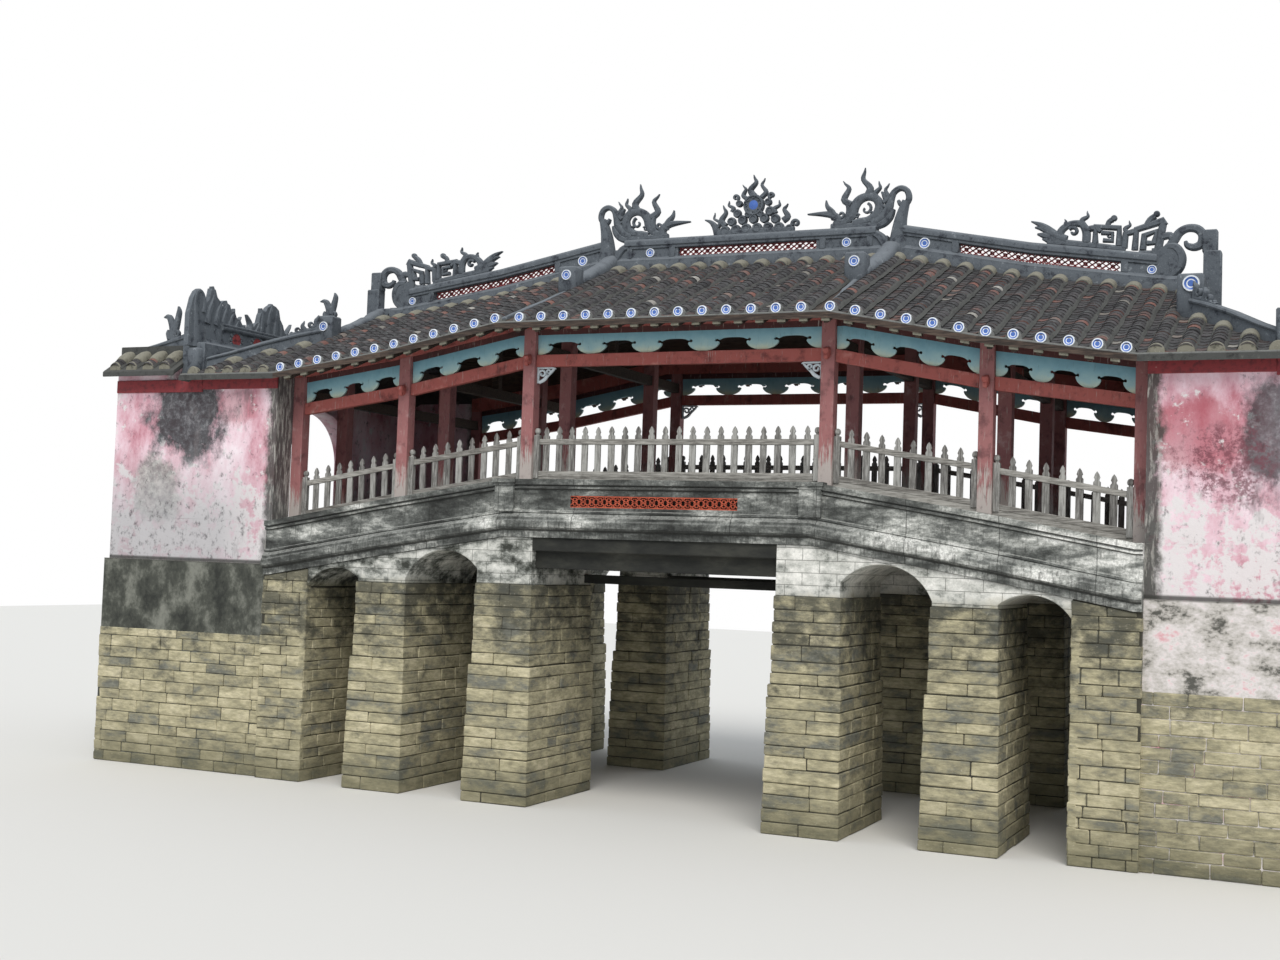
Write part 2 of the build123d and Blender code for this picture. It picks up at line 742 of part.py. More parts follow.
slope_section = [
    (-eave_half_width, roof_under(eave_half_width)), (-ridge_half, ridge_under),
    (-ridge_half, ridge_under + roof_thickness), (-eave_half_width, roof_top(eave_half_width)),
]
center_rows = int((column_inner_x - roll_width / 2) / roll_pitch_center)
first_side_row = column_inner_x + band_width / 2 + roll_width / 2 + roll_gap
side_rows = int((column_end_x - roll_width / 2 - first_side_row) / roll_pitch_side) + 1
roof_center = section_run(slope_section, -column_inner_x, column_inner_x, eave_line)
roof_center = roof_center.fuse(
    *(roll(roll_pitch_center * i, ridge_half) for i in range(-center_rows, center_rows + 1))
)
roof_right = section_run(slope_section, column_inner_x, column_end_x, eave_line)
roof_right = roof_right.fuse(
    *(roll(first_side_row + roll_pitch_side * i, ridge_half) for i in range(side_rows))
)
save("roof_center", roof_center, across(roof_center))
save("roof_right", roof_right, across(roof_right))
save("roof_left", along(roof_right), across(along(roof_right)))

# Gatehouse roof: gable at the end of the ridge, hipped below it
gable_x = column_end_x + gable_beyond
hip_foot_x = gate_wall_x - hip_foot_back
gate_eave = roof_top(eave_half_width) + end_level
hip_slope = roof_slope * (eave_half_width - band_block_y) / (hip_foot_x - gable_x)


def hip_level(x):
    """Top of the hipped end at x."""
    return gate_eave + hip_slope * (hip_foot_x - x)


def hipped_body(drop, gable_inset):
    """The room under the roof planes lowered by drop, with the gable moved in."""
    low = gate_eave - roof_thickness
    foot = gate_eave - drop
    top = apex + end_level
    face_x = gable_x - gable_inset
    gable = [
        (-eave_half_width, low), (eave_half_width, low), (eave_half_width, foot), (0, top - drop),
        (-eave_half_width, foot),
    ]
    hipped = [
        (column_end_x, low), (hip_foot_x, low), (hip_foot_x, foot), (face_x, hip_level(face_x) - drop),
        (face_x, top), (column_end_x, top),
    ]
    sides = outline_along_x(gable, column_end_x, hip_foot_x)
    return sides & outline_along_y(hipped, -eave_half_width, eave_half_width)


gateway_block = block(
    gate_room_x, gate_wall_x, -gatehouse_half_width, gatehouse_half_width, floor_level, gateway_wall_top
)
last_row = roll(first_side_row + roll_pitch_side * side_rows, ridge_half)
room_under_roof = hipped_body(roof_thickness - 0.5, roof_thickness)
gate_roof = hipped_body(0.0, 0.0).fuse(last_row, across(last_row))
gate_roof = gate_roof - room_under_roof - ridge_right - gateway_block
save("gate_roof_right", *gate_roof.solids())
save("gate_roof_left", *along(gate_roof).solids())

# Bands that run down the roof, each with a block on the way


def descending_band(x):
    """Band over the upper part of one slope and the block it ends in, at the level of the middle bay."""
    inner, outer = band_block_y - band_block / 2, band_block_y + band_block / 2
    low = roof_thickness / 2
    block_top = roof_top(band_block_y) + band_block_height
    points = [
        (-outer, roof_top(outer) - low), (-ridge_half, roof_top(ridge_half) - low),
        (-ridge_half, roof_top(ridge_half) + band_height), (-inner, roof_top(inner) + band_height),
        (-inner, block_top), (-outer, block_top),
    ]
    return outline_along_x(points, x - band_width / 2, x + band_width / 2)


band = descending_band(column_inner_x) - roof_center - roof_right - pillar
save("verge_bands", *(s for b in (band, along(band)) for s in (b, across(b))))

# Bands of the gatehouse roof: down beside the gable, then out along the hip to a block at the corner
gate_band_x = gable_x - band_width / 2
hip_run = Vector(hip_foot_x - gable_x, band_block_y - eave_half_width, gate_eave - hip_level(gable_x))
hip_across = Vector(-hip_run.Y, hip_run.X, 0).normalized() * (band_width / 2)
hip_start = Vector(gable_x, -band_block_y, hip_level(gable_x))
hip_block_share = 0.9  # the corner block stands this far down the hip
corner_block_height = 420.0


def hip_band():
    low = -roof_thickness * 0.8
    corners = [
        hip_start + hip_across * side + Vector(0, 0, up)
        for side, up in ((-1, low), (1, low), (1, band_height), (-1, band_height))
    ]
    run = Solid.extrude(Face(Wire.make_polygon(corners, close=True)), hip_run * hip_block_share)
    foot = hip_start + hip_run * hip_block_share
    half = band_block / 2
    corner_block = block(
        foot.X - half, foot.X + half / 2, foot.Y - half / 2, foot.Y + half,
        foot.Z - roof_thickness, foot.Z + corner_block_height,
    )
    return run.fuse(corner_block)


gate_band = Pos(0, 0, end_level) * descending_band(gate_band_x)
under_gate_roof = hipped_body(roof_thickness / 2, 0.0)
gate_band = gate_band.fuse(hip_band()) - under_gate_roof - gate_roof - gateway_block - ridge_right
gate_band = gate_band.solids().sort_by(SortBy.VOLUME)[-1]
save("gate_bands_right", gate_band, across(gate_band))
save("gate_bands_left", along(gate_band), across(along(gate_band)))

# Gatehouse walls


def gate_side_wall():
    section = [
        (-gatehouse_half_width, floor_level), (-column_face, floor_level),
        (-column_face, roof_under(column_face) + end_level),
        (-gatehouse_half_width, roof_under(gatehouse_half_width) + end_level),
    ]
    wall = outline_along_x(section, gate_face_x, gate_room_x)
    above_hip = [
        (hip_foot_x, gate_eave - roof_thickness), (gable_x, hip_level(gable_x) - roof_thickness),
        (gable_x, apex), (hip_foot_x, apex),
    ]
    return wall - outline_along_y(above_hip, -eave_half_width, eave_half_width)


coping_crown_y = -(gatehouse_half_width + column_face) / 2
coping_in_y = -column_face + coping_overlap


def coping_under(y):
    """Underside of the coping over a wing wall."""
    reach = -eave_half_width if y < coping_crown_y else coping_in_y
    share = (y - coping_crown_y) / (reach - coping_crown_y)
    return coping_ridge - roof_thickness + share * (coping_eave - coping_ridge)


wing_section = [
    (-gatehouse_half_width, floor_level), (-column_face, floor_level),
    *((y, coping_under(y)) for y in (-column_face, coping_crown_y, -gatehouse_half_width)),
]
side_wall = gate_side_wall()
wing = outline_along_x(wing_section, gate_wall_x, wing_x)
gate_walls = [side_wall, across(side_wall), wing, across(wing)]
save("gate_walls_right", *gate_walls)
save("gate_walls_left", *(along(s) for s in gate_walls))

# Gateway wall with its arched doorway
doorway_half = doorway_width / 2
door_arch = Edge.make_three_point_arc(
    Vector(0, doorway_half, floor_level + doorway_spring),
    Vector(0, 0, floor_level + doorway_spring + doorway_half),
    Vector(0, -doorway_half, floor_level + doorway_spring),
)
door_feet = [Vector(0, -doorway_half, floor_level), Vector(0, doorway_half, floor_level)]
door_sides = Wire.make_polygon([door_arch @ 1, *door_feet, door_arch @ 0], close=False)
door_face = Face(Wire([door_arch, *door_sides.edges()]))
doorway = Pos(gate_room_x, 0, 0) * Solid.extrude(door_face, Vector(gateway_wall, 0, 0))
gateway = gateway_block - doorway
save("gateway_wall_right", gateway)
save("gateway_wall_left", along(gateway))

# Tiled copings on the wing walls, with a band along the top
coping_band_height = 150.0
coping_band_in, coping_band_out = coping_crown_y + half_wall, coping_crown_y - half_wall
coping_section = [
    *((y, coping_under(y)) for y in (-eave_half_width, coping_crown_y, coping_in_y)),
    (coping_in_y, coping_eave),
    (coping_band_in, coping_under(coping_band_in) + roof_thickness),
    (coping_band_in, coping_ridge + coping_band_height), (coping_band_out, coping_ridge + coping_band_height),
    (coping_band_out, coping_under(coping_band_out) + roof_thickness), (-eave_half_width, coping_eave),
]
coping = outline_along_x(coping_section, gate_wall_x, wing_x + coping_overhang)
save("wing_copings_right", coping, across(coping))
save("wing_copings_left", along(coping), across(along(coping)))

# Ridge across the gateway wall: panelled wall, cap and modelled crests
gate_ridge_inset = 130.0  # from the faces of the gateway wall
gate_ridge_width = 240.0
gate_ridge_height = 440.0
gate_panel_pitch = 580.0
gate_panel_count = 5  # on each side of the middle
gate_panel_radius = 105.0
gate_cap_height = 110.0
gate_cap_out = 40.0
gate_ridge_half = gatehouse_half_width - gate_ridge_inset
gate_ridge_x = gate_wall_x - gateway_wall / 2
gate_ridge_top = gateway_wall_top + gate_ridge_height
end_crest = [
    (120, 0), (60, 330), (-20, 560), (-110, 620), (-180, 560), (-260, 420), (-310, 600), (-400, 560),
    (-470, 360), (-560, 440), (-640, 300), (-760, 260), (-860, 120), (-1000, 0),
]
middle_crest = [
    (-650, 0), (-600, 200), (-500, 90), (-400, 230), (-330, 420), (-180, 480), (-80, 610), (60, 600),
    (180, 360), (260, 150), (420, 230), (470, 340), (520, 240), (560, 0),
]
middle_crest_y = 1500.0


def gate_crest(points, y):
    outline = [(y + py, gate_ridge_top + pz) for py, pz in points]
    return outline_along_x(outline, gate_ridge_x - half_ornament, gate_ridge_x + half_ornament)


def gate_ridge():
    near, far = gate_ridge_x - gate_ridge_width / 2, gate_ridge_x + gate_ridge_width / 2
    cap_bottom = gate_ridge_top - gate_cap_height
    wall = block(near, far, -gate_ridge_half, gate_ridge_half, gateway_wall_top, cap_bottom)
    out = gate_cap_out
    cap_half = gate_ridge_half + out
    cap = block(near - out, far + out, -cap_half, cap_half, cap_bottom, gate_ridge_top)
    level = (gateway_wall_top + cap_bottom) / 2
    holes = []
    for i in range(-gate_panel_count, gate_panel_count):
        y = gate_panel_pitch * (i + 0.5)
        r = gate_panel_radius
        points = [
            (y - r, level), (y - r * 0.6, level - r), (y + r * 0.6, level - r), (y + r, level),
            (y + r * 0.6, level + r), (y - r * 0.6, level + r),
        ]
        holes.append(outline_along_x(points, near, far))
    end_outline = [(-y, z) for y, z in end_crest]
    crests = [gate_crest(end_outline, -gate_ridge_half), gate_crest(middle_crest, -middle_crest_y)]
    return wall.cut(*holes).fuse(cap, *crests, *(across(c) for c in crests)).clean()


right_gate_ridge = gate_ridge()
save("gate_ridge_right", right_gate_ridge)
save("gate_ridge_left", along(right_gate_ridge))
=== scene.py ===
# Roofed footbridge on masonry arches: the looks of every surface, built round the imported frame.
# X runs along the bridge, Y across it, Z up, in metres.
import math
import random

import bmesh
import bpy
from mathutils import Matrix, Vector


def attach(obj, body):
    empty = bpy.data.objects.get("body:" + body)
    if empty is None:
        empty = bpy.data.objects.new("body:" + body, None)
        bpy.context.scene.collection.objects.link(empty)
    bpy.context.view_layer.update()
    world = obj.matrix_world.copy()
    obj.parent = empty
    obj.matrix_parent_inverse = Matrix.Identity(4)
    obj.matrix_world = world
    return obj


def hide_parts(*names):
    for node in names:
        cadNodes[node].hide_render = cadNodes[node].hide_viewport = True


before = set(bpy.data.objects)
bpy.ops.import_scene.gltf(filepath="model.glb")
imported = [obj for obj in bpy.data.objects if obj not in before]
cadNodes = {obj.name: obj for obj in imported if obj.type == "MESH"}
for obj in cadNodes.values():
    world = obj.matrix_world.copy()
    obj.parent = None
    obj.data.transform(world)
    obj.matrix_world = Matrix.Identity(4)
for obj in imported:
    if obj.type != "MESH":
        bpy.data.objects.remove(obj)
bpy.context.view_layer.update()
random.seed(1719)
print("frame loaded:", len(cadNodes), "nodes")

# The lines that the whole bridge follows: level over the middle bay, then a fall over each side bay
bridge = {
    "columnLines": (2.5, 4.85, 6.98),
    "roofTurn": 2.72,
    "rowOuter": 3.0,
    "columnSize": 0.21,
    "deckTop": 5.04,
    "deckFalls": (0.375, 0.375),
    "lintelBottom": 6.88,
    "lintelTop": 7.075,
    "lintelFalls": (0.455, 0.30),
    "plateBottom": 7.49,
    "plateHeight": 0.194,
    "eaveFalls": (0.41, 0.305),
    "roofSlope": 0.395,
    "roofThickness": 0.09,
    "eaveHalf": 3.85,
    "baseHalf": 3.7,
    "gateFace": 7.085,
    "plinthTop": 3.56,
    "corniceDepth": 0.905,
}
columnSteps = [s * c for c in bridge["columnLines"] for s in (-1, 1)]
breaks = columnSteps + [-bridge["roofTurn"], bridge["roofTurn"]]


def fallAt(x, falls, turn):
    second, third = bridge["columnLines"][1:]
    inner = min(max(abs(x) - turn, 0.0), second - turn) / (second - turn)
    outer = min(max(abs(x) - second, 0.0), third - second) / (third - second)
    return -inner * falls[0] - outer * falls[1]


def deckAt(x):
    return bridge["deckTop"] + fallAt(x, bridge["deckFalls"], bridge["columnLines"][0])


def lintelTopAt(x):
    return bridge["lintelTop"] + fallAt(x, bridge["lintelFalls"], bridge["columnLines"][0])


def eaveFallAt(x):
    return fallAt(x, bridge["eaveFalls"], bridge["roofTurn"])


def roofTopAt(x, y):
    face = bridge["rowOuter"] + bridge["columnSize"] / 2
    under = bridge["plateBottom"] + bridge["plateHeight"] + bridge["roofSlope"] * (face - abs(y))
    return under + bridge["roofThickness"] + eaveFallAt(x)


# Tools that build meshes


class Shape:
    # Collects points and faces of one piece, each face with the number of its finish
    def __init__(self):
        self.points, self.faces, self.finish = [], [], []

    def add(self, points, faces, finish=0):
        base = len(self.points)
        self.points.extend(Vector(p) for p in points)
        self.faces.extend(tuple(base + i for i in face) for face in faces)
        self.finish.extend([finish] * len(faces))


def tubeFaces(rings, sides):
    # Faces of a tube with so many rings of points and so many sides, closed at both ends
    faces = [
        (i * sides + k, i * sides + (k + 1) % sides, (i + 1) * sides + (k + 1) % sides, (i + 1) * sides + k)
        for i in range(rings - 1) for k in range(sides)
    ]
    return faces + [tuple(range(sides)), tuple((rings - 1) * sides + k for k in reversed(range(sides)))]


def makePiece(name, shape, finishes, replaced=(), smoothAngle=38.0):
    mesh = bpy.data.meshes.new(name)
    mesh.from_pydata([tuple(p) for p in shape.points], [], shape.faces)
    for finish in finishes:
        mesh.materials.append(finish)
    mesh.polygons.foreach_set("material_index", shape.finish)
    work = bmesh.new()
    work.from_mesh(mesh)
    bmesh.ops.recalc_face_normals(work, faces=work.faces)
    limit = math.radians(smoothAngle)
    for face in work.faces:
        face.smooth = smoothAngle > 0
    for edge in work.edges:
        edge.smooth = edge.calc_face_angle(0.0) < limit
    bmesh.ops.triangulate(work, faces=[f for f in work.faces if len(f.verts) > 8])
    work.to_mesh(mesh)
    work.free()
    piece = bpy.data.objects.new(name, mesh)
    bpy.context.scene.collection.objects.link(piece)
    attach(piece, "root")
    if replaced:
        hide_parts(*replaced)
    return piece


def addBlock(shape, corners, edge, finish=0):
    # A worn block: corners in the order of x, y, z lowest first, its edges cut off by edge
    sides = ((0, 1, 3, 2), (4, 6, 7, 5), (0, 4, 5, 1), (2, 3, 7, 6), (0, 2, 6, 4), (1, 5, 7, 3))
    points, faces, place = [], [], {}
    for n, side in enumerate(sides):
        for k, corner in enumerate(side):
            here = corners[corner]
            ahead = (corners[side[(k + 1) % 4]] - here).normalized()
            behind = (corners[side[k - 1]] - here).normalized()
            place[n, corner] = len(points)
            points.append(here + (ahead + behind) * edge)
        faces.append([place[n, corner] for corner in side])
    for n, side in enumerate(sides):
        for k, a in enumerate(side):
            b = side[(k + 1) % 4]
            for m in range(n + 1, 6):
                if a in sides[m] and b in sides[m]:
                    faces.append([place[n, a], place[n, b], place[m, b], place[m, a]])
    for corner in range(8):
        faces.append([place[n, corner] for n in range(6) if corner in sides[n]])
    shape.add(points, faces, finish)


def boxCorners(low, high):
    return [
        Vector((x, y, z)) for x in (low[0], high[0]) for y in (low[1], high[1]) for z in (low[2], high[2])
    ]


def cornersOn(xs, ys, lineFn, levels):
    # Corners of a block whose two levels are measured from a line
    return [Vector((x, y, lineFn(x) + z)) for x in xs for y in ys for z in levels]


def smoothPath(points, steps):
    # Rounds a line of (a, b, width) points through all of them
    line = []
    last = len(points) - 1
    for i in range(last):
        p = [points[max(i - 1, 0)], points[i], points[i + 1], points[min(i + 2, last)]]
        for k in range(steps):
            t = k / steps
            line.append(tuple(
                0.5 * (2 * p[1][j] + (p[2][j] - p[0][j]) * t
                       + (2 * p[0][j] - 5 * p[1][j] + 4 * p[2][j] - p[3][j]) * t * t
                       + (3 * p[1][j] - p[0][j] - 3 * p[2][j] + p[3][j]) * t ** 3)
                for j in range(3)
            ))
    line.append(tuple(points[last]))
    return line


def addRibbon(shape, line, depth, place, sides=8, finish=0):
    # A modelled strip along (a, b, half width) points, rounded across; place puts it in space
    points = []
    count = len(line)
    for i, (a, b, wide) in enumerate(line):
        before, after = line[max(i - 1, 0)], line[min(i + 1, count - 1)]
        along = Vector((after[0] - before[0], after[1] - before[1]))
        along = along.normalized() if along.length > 1e-9 else Vector((1, 0))
        for k in range(sides):
            turn = 2 * math.pi * (k + 0.5) / sides
            c, s = math.cos(turn), math.sin(turn)
            c, s = math.copysign(abs(c) ** 0.75, c), math.copysign(abs(s) ** 0.75, s)
            half = min(depth / 2, 0.35 * depth / 2 + wide)
            points.append(place(a - along.y * wide * c, b + along.x * wide * c, half * s))
    shape.add(points, tubeFaces(count, sides), finish)


def flame(base, tip, wide, bow):
    # A flame that leans one way, then the other, and ends in a point
    dx, dz = tip[0] - base[0], tip[1] - base[1]
    return smoothPath([
        (base[0], base[1], wide),
        (base[0] + 0.3 * dx - bow * dz, base[1] + 0.3 * dz + bow * dx, wide * 0.9),
        (base[0] + 0.62 * dx + bow * 0.6 * dz, base[1] + 0.62 * dz - bow * 0.6 * dx, wide * 0.6),
        (base[0] + 0.86 * dx + bow * 0.2 * dz, base[1] + 0.86 * dz - bow * 0.2 * dx, wide * 0.32),
        (tip[0], tip[1], wide * 0.1),
    ], 4)


def curl(centre, radius, start, turns, wide, end=0.25):
    # A spiral that runs inwards from radius, starting at the angle start in degrees
    line = []
    steps = max(8, int(abs(turns) * 16))
    for i in range(steps + 1):
        t = i / steps
        r = radius * (1 - t) + radius * end * t
        turn = math.radians(start) + turns * 2 * math.pi * t
        line.append((centre[0] + r * math.cos(turn), centre[1] + r * math.sin(turn), wide * (1 - 0.35 * t)))
    return line


def addDisc(
    shape, centre, radius, depth, place, rings=((1.0, 0.55), (0.86, 1.0), (0.0, 1.0)), sides=16, finish=0
):
    # A round boss in the ornament's plane: rings are (share of radius, share of half depth)
    points, faces = [], []
    for face in (1, -1):
        for share, rise in rings:
            for k in range(sides):
                turn = 2 * math.pi * k / sides
                wide = max(share * radius, 0.001)
                a, b = centre[0] + wide * math.cos(turn), centre[1] + wide * math.sin(turn)
                points.append(place(a, b, face * rise * depth / 2))
    count = len(rings)
    for side in range(2):
        for r in range(count - 1):
            for k in range(sides):
                m = (k + 1) % sides
                a, b = (side * count + r) * sides, (side * count + r + 1) * sides
                faces.append((a + k, a + m, b + m, b + k))
        faces.append(tuple((side * count + count - 1) * sides + k for k in range(sides)))
    for k in range(sides):
        m = (k + 1) % sides
        faces.append((k, m, count * sides + m, count * sides + k))
    shape.add(points, faces, finish)


def addMoulding(shape, profile, start, end, lineFn):
    # Runs a closed (y, z) profile from x = start to x = end along a line that breaks at its turns
    stops = sorted({start, end, *(c for c in breaks if start < c < end)})
    points = [(x, y, z + lineFn(x)) for x in stops for y, z in profile]
    shape.add(points, tubeFaces(len(stops), len(profile)))


def addPlate(shape, outline, put, half, finish=0):
    # A flat outline in two directions of its own, as thick as twice half; put places it
    points = [put(a, b, deep) for deep in (-half, half) for a, b in outline]
    *edges, front, back = tubeFaces(2, len(outline))
    # the order of the faces settles the tone that the wood finish gives to each board
    shape.add(points, [front, back, *edges], finish)


# Finishes


def linearColour(code):
    parts = [int(code[i:i + 2], 16) / 255 for i in (0, 2, 4)]
    return tuple(p / 12.92 if p <= 0.04045 else ((p + 0.055) / 1.055) ** 2.4 for p in parts) + (1.0,)


def nodeAdder(tree):
    # Its function adds a node with its inputs, in their order or by name, and its settings by name.
    # A node given as an input stands for its first output, and a hex code for its colour.
    def add(kind, *inputs, **settings):
        node = tree.nodes.new("ShaderNode" + kind)
        for name, value in settings.items():
            if name == "stops":
                elements = node.color_ramp.elements
                while len(elements) < len(value):
                    elements.new(0.5)
                for element, (position, tone) in zip(elements, value):
                    element.position = position
                    element.color = linearColour(tone) if isinstance(tone, str) else (tone, tone, tone, 1.0)
            else:
                setattr(node, name, value)
        named = inputs[0].items() if inputs and isinstance(inputs[0], dict) else enumerate(inputs)
        for name, value in named:
            if isinstance(value, bpy.types.Node):
                value = value.outputs[0]
            if isinstance(value, bpy.types.NodeSocket):
                tree.links.new(value, node.inputs[name])
            else:
                node.inputs[name].default_value = linearColour(value) if isinstance(value, str) else value
        return node

    return add


def newFinish(name):
    # A new material, the function that adds its nodes, and the place of each point in metres
    finish = bpy.data.materials.new(name)
    finish.use_nodes = True
    finish.node_tree.nodes.clear()
    add = nodeAdder(finish.node_tree)
    return finish, add, add("TexCoord").outputs["Object"]


def finishOff(finish, add, roughness, colour, height=None, depth=0.0, strength=0.8, ior=1.5):
    # The shader itself; depth is how far the bump would stand out, in metres
    look = {"Base Color": colour, "Roughness": roughness, "IOR": ior}
    if height is not None:
        look["Normal"] = add("Bump", {"Height": height, "Distance": depth, "Strength": strength})
    add("OutputMaterial", add("BsdfPrincipled", look))
    return finish


def clouds(add, spot, size, detail=8.0, rough=0.68, scale=(1, 1, 1)):
    # Cloudy pattern with blotches about size metres across, narrower where scale is above 1
    place = add("Mapping", {"Vector": spot, "Scale": scale})
    return add("TexNoise", {"Vector": place, "Scale": 0.6 / size, "Detail": detail, "Roughness": rough})


def levelAbove(add, apart, level, falls):
    # Height over a line that is level in the middle bay and falls over the side bays
    first, second, third = bridge["columnLines"]
    away = add("Math", apart["X"], operation="ABSOLUTE")
    inner = add("MapRange", away, first, second, 0.0, falls[0])
    outer = add("MapRange", away, second, third, 0.0, falls[1])
    drop = add("Math", inner, outer, operation="ADD")
    return add("Math", add("Math", apart["Z"], drop, operation="ADD"), level, operation="SUBTRACT")


def patchAt(add, spot, rag, centre, reach):
    # 1 inside a blot round centre with a ragged edge, 0 well outside; reach is its half size each way
    shift = tuple(-c / r for c, r in zip(centre, reach))
    place = add("Mapping", {"Vector": spot, "Location": shift, "Scale": tuple(1 / r for r in reach)})
    far = add("VectorMath", place, operation="LENGTH").outputs["Value"]
    edge = add("Math", rag, 1.9, add("Math", -0.95, far, operation="SUBTRACT"), operation="MULTIPLY_ADD")
    return add("MapRange", edge, -1.1, -0.75, 0.0, 1.0)


# Sandstone, split and squared by hand: sandy bedding grain, grey weather skin over olive tan
def sandstoneFinish():
    finish, add, spot = newFinish("sandstoneSquared")
    island = add("NewGeometry").outputs["Random Per Island"]
    apart = add("SeparateXYZ", spot).outputs
    bedding = clouds(add, spot, 0.09, 9.0, scale=(1, 1, 3.2))
    skin = clouds(add, spot, 0.34, 8.0, 0.7, scale=(1, 1, 2.2))
    hue = add("Math", island, 0.16, skin, operation="MULTIPLY_ADD")
    tone = add(
        "ValToRGB", hue, stops=((0.42, "75756a"), (0.52, "958f76"), (0.62, "aea687"), (0.74, "c6bd9e"))
    )
    colour = add("MixRGB", 1.0, tone, add("MapRange", bedding, 0.3, 0.7, 0.66, 1.26), blend_type="MULTIPLY")
    # black crust of rain and lichen that thickens towards the top of the piers
    high = add("MapRange", apart["Z"], 1.6, 3.6, -0.09, 0.18)
    crust = add("Math", clouds(add, spot, 0.26, scale=(1, 1, 1.5)), high, operation="ADD")
    colour = add("MixRGB", add("ValToRGB", crust, stops=((0.5, 0.0), (0.66, 0.8))), colour, "3e3f38")
    # brown and green film where the stone stands in the water
    wet = add("MapRange", apart["Z"], 0.75, 0.1, 0.0, 1.1)
    colour = add("MixRGB", add("Math", wet, bedding, operation="MULTIPLY"), colour, "4a4a35")
    pale = clouds(add, spot, 0.05, 6.0, 0.75, scale=(1, 1, 2.0))
    colour = add("MixRGB", add("ValToRGB", pale, stops=((0.6, 0.0), (0.72, 0.5))), colour, "c9c3ad")
    return finishOff(
        finish, add, 0.88, colour, add("Math", pale, 0.3, bedding, operation="MULTIPLY_ADD"), 0.022, 0.95,
    )


# Lime render over squared stone, a century old: white skin in patches, black lichen, joints showing
def spandrelFinish():
    finish, add, spot = newFinish("limeRenderSpandrel")
    apart = add("SeparateXYZ", spot).outputs
    # painted sunlight: the render is made lighter towards the right end of the bridge
    paintedSunRamp = add("MapRange", apart["X"], -6.0, 5.0, -0.08, 0.05)
    broad = add("Math", clouds(add, spot, 0.32, 9.0, 0.72, scale=(1, 1, 1.5)), paintedSunRamp, operation="ADD")
    tone = add(
        "ValToRGB", broad, stops=((0.35, "33352f"), (0.42, "7c7e78"), (0.49, "bebeb7"), (0.62, "eceae3"))
    )
    speck = clouds(add, spot, 0.024, 6.0, 0.75)
    colour = add("MixRGB", 1.0, tone, add("MapRange", speck, 0.3, 0.7, 0.8, 1.12), blend_type="MULTIPLY")
    # grey ledge stones at the springing, then the brown of the piers below
    low = add(
        "Math", broad, 0.7, add("MapRange", apart["Z"], 3.75, 3.0, -0.3, 0.35), operation="MULTIPLY_ADD"
    )
    colour = add("MixRGB", add("ValToRGB", low, stops=((0.3, 0.0), (0.5, 0.85))), colour, "8d8870")
    # stones laid in courses of 178 mm, their joints 6 mm wide
    sides = add("Math", apart["X"], apart["Y"], operation="ADD")
    joined = add("CombineXYZ", {"X": sides, "Y": apart["Z"]})
    joints = add("TexBrick", {
        "Vector": joined, "Scale": 1.0, "Mortar Size": 0.0045, "Mortar Smooth": 0.4, "Brick Width": 0.52,
        "Row Height": 0.178,
    }).outputs["Fac"]
    colour = add("MixRGB", add("Math", joints, 0.75, operation="MULTIPLY"), colour, "4a4a43")
    height = add(
        "Math", joints, -0.7, add("Math", speck, 0.4, broad, operation="MULTIPLY_ADD"),
        operation="MULTIPLY_ADD"
    )
    return finishOff(finish, add, 0.9, colour, height, 0.012)


# Lime render on run mouldings: rain-washed grey, white where it is new, black painted shade under each ledge
# and painted highlight on the ledges
def corniceFinish():
    finish, add, spot = newFinish("limeRenderCornice")
    apart = add("SeparateXYZ", spot).outputs
    facing = add("SeparateXYZ", add("NewGeometry").outputs["Normal"]).outputs["Z"]
    above = levelAbove(add, apart, bridge["deckTop"], bridge["deckFalls"])
    broad = clouds(add, spot, 0.42, 9.0, 0.7, scale=(0.7, 1, 1.9))
    # painted sunlight: the render is made lighter towards the right end
    paintedSunRamp = add("MapRange", apart["X"], 2.0, 6.5, 0.0, 0.07)
    lit = add("Math", broad, paintedSunRamp, operation="ADD")
    tone = add("ValToRGB", lit, stops=(
        (0.36, "272826"), (0.46, "484a47"), (0.54, "70726e"), (0.61, "acada7"), (0.68, "e6e5df"),
    ))
    # painted highlight makes the ledges' upper faces pale, and painted shade makes the faces under them black
    colour = add("MixRGB", add("MapRange", facing, 0.35, 0.95, 0.0, 0.55), tone, "b2b3ad")
    colour = add("MixRGB", add("MapRange", facing, -0.15, -0.8, 0.0, 0.85), colour, "272826")
    # painted shade: darker blotches lower in the cornice, under the mouldings
    run = clouds(add, spot, 0.1, 7.0, 0.7, scale=(3.4, 3.4, 0.7))
    under = add("Math", run, add("MapRange", above, -0.86, -0.3, 0.04, -0.04), operation="ADD")
    colour = add("MixRGB", add("ValToRGB", under, stops=((0.5, 0.0), (0.64, 0.62))), colour, "2f302d")
    # a joint between stones every 1.3 m
    cut = add("Math", add("Math", apart["X"], 0.77, operation="MULTIPLY"), operation="FRACT")
    colour = add("MixRGB", add("MapRange", cut, 0.012, 0.004, 0.0, 0.8), colour, "2b2c29")
    speck = clouds(add, spot, 0.02, 6.0, 0.78)
    colour = add("MixRGB", 1.0, colour, add("MapRange", speck, 0.34, 0.66, 0.6, 1.28), blend_type="MULTIPLY")
    return finishOff(
        finish, add, 0.9, colour, add("Math", speck, 0.5, broad, operation="MULTIPLY_ADD"), 0.012, 0.9,
    )


# Poured beam over the middle opening: cement coloured grey-black, darker and lighter in blotches
def beamFinish():
    finish, add, spot = newFinish("cementBeam")
    broad = clouds(add, spot, 0.4, scale=(0.6, 1, 1.4))
    tone = add(
        "ValToRGB", broad, stops=((0.38, "141513"), (0.5, "242521"), (0.62, "35352f"), (0.74, "4a4943"))
    )
    speck = clouds(add, spot, 0.02, 5.0, 0.75)
    return finishOff(finish, add, 0.86, tone, add("Math", speck, 0.4, broad, operation="MULTIPLY_ADD"), 0.01)


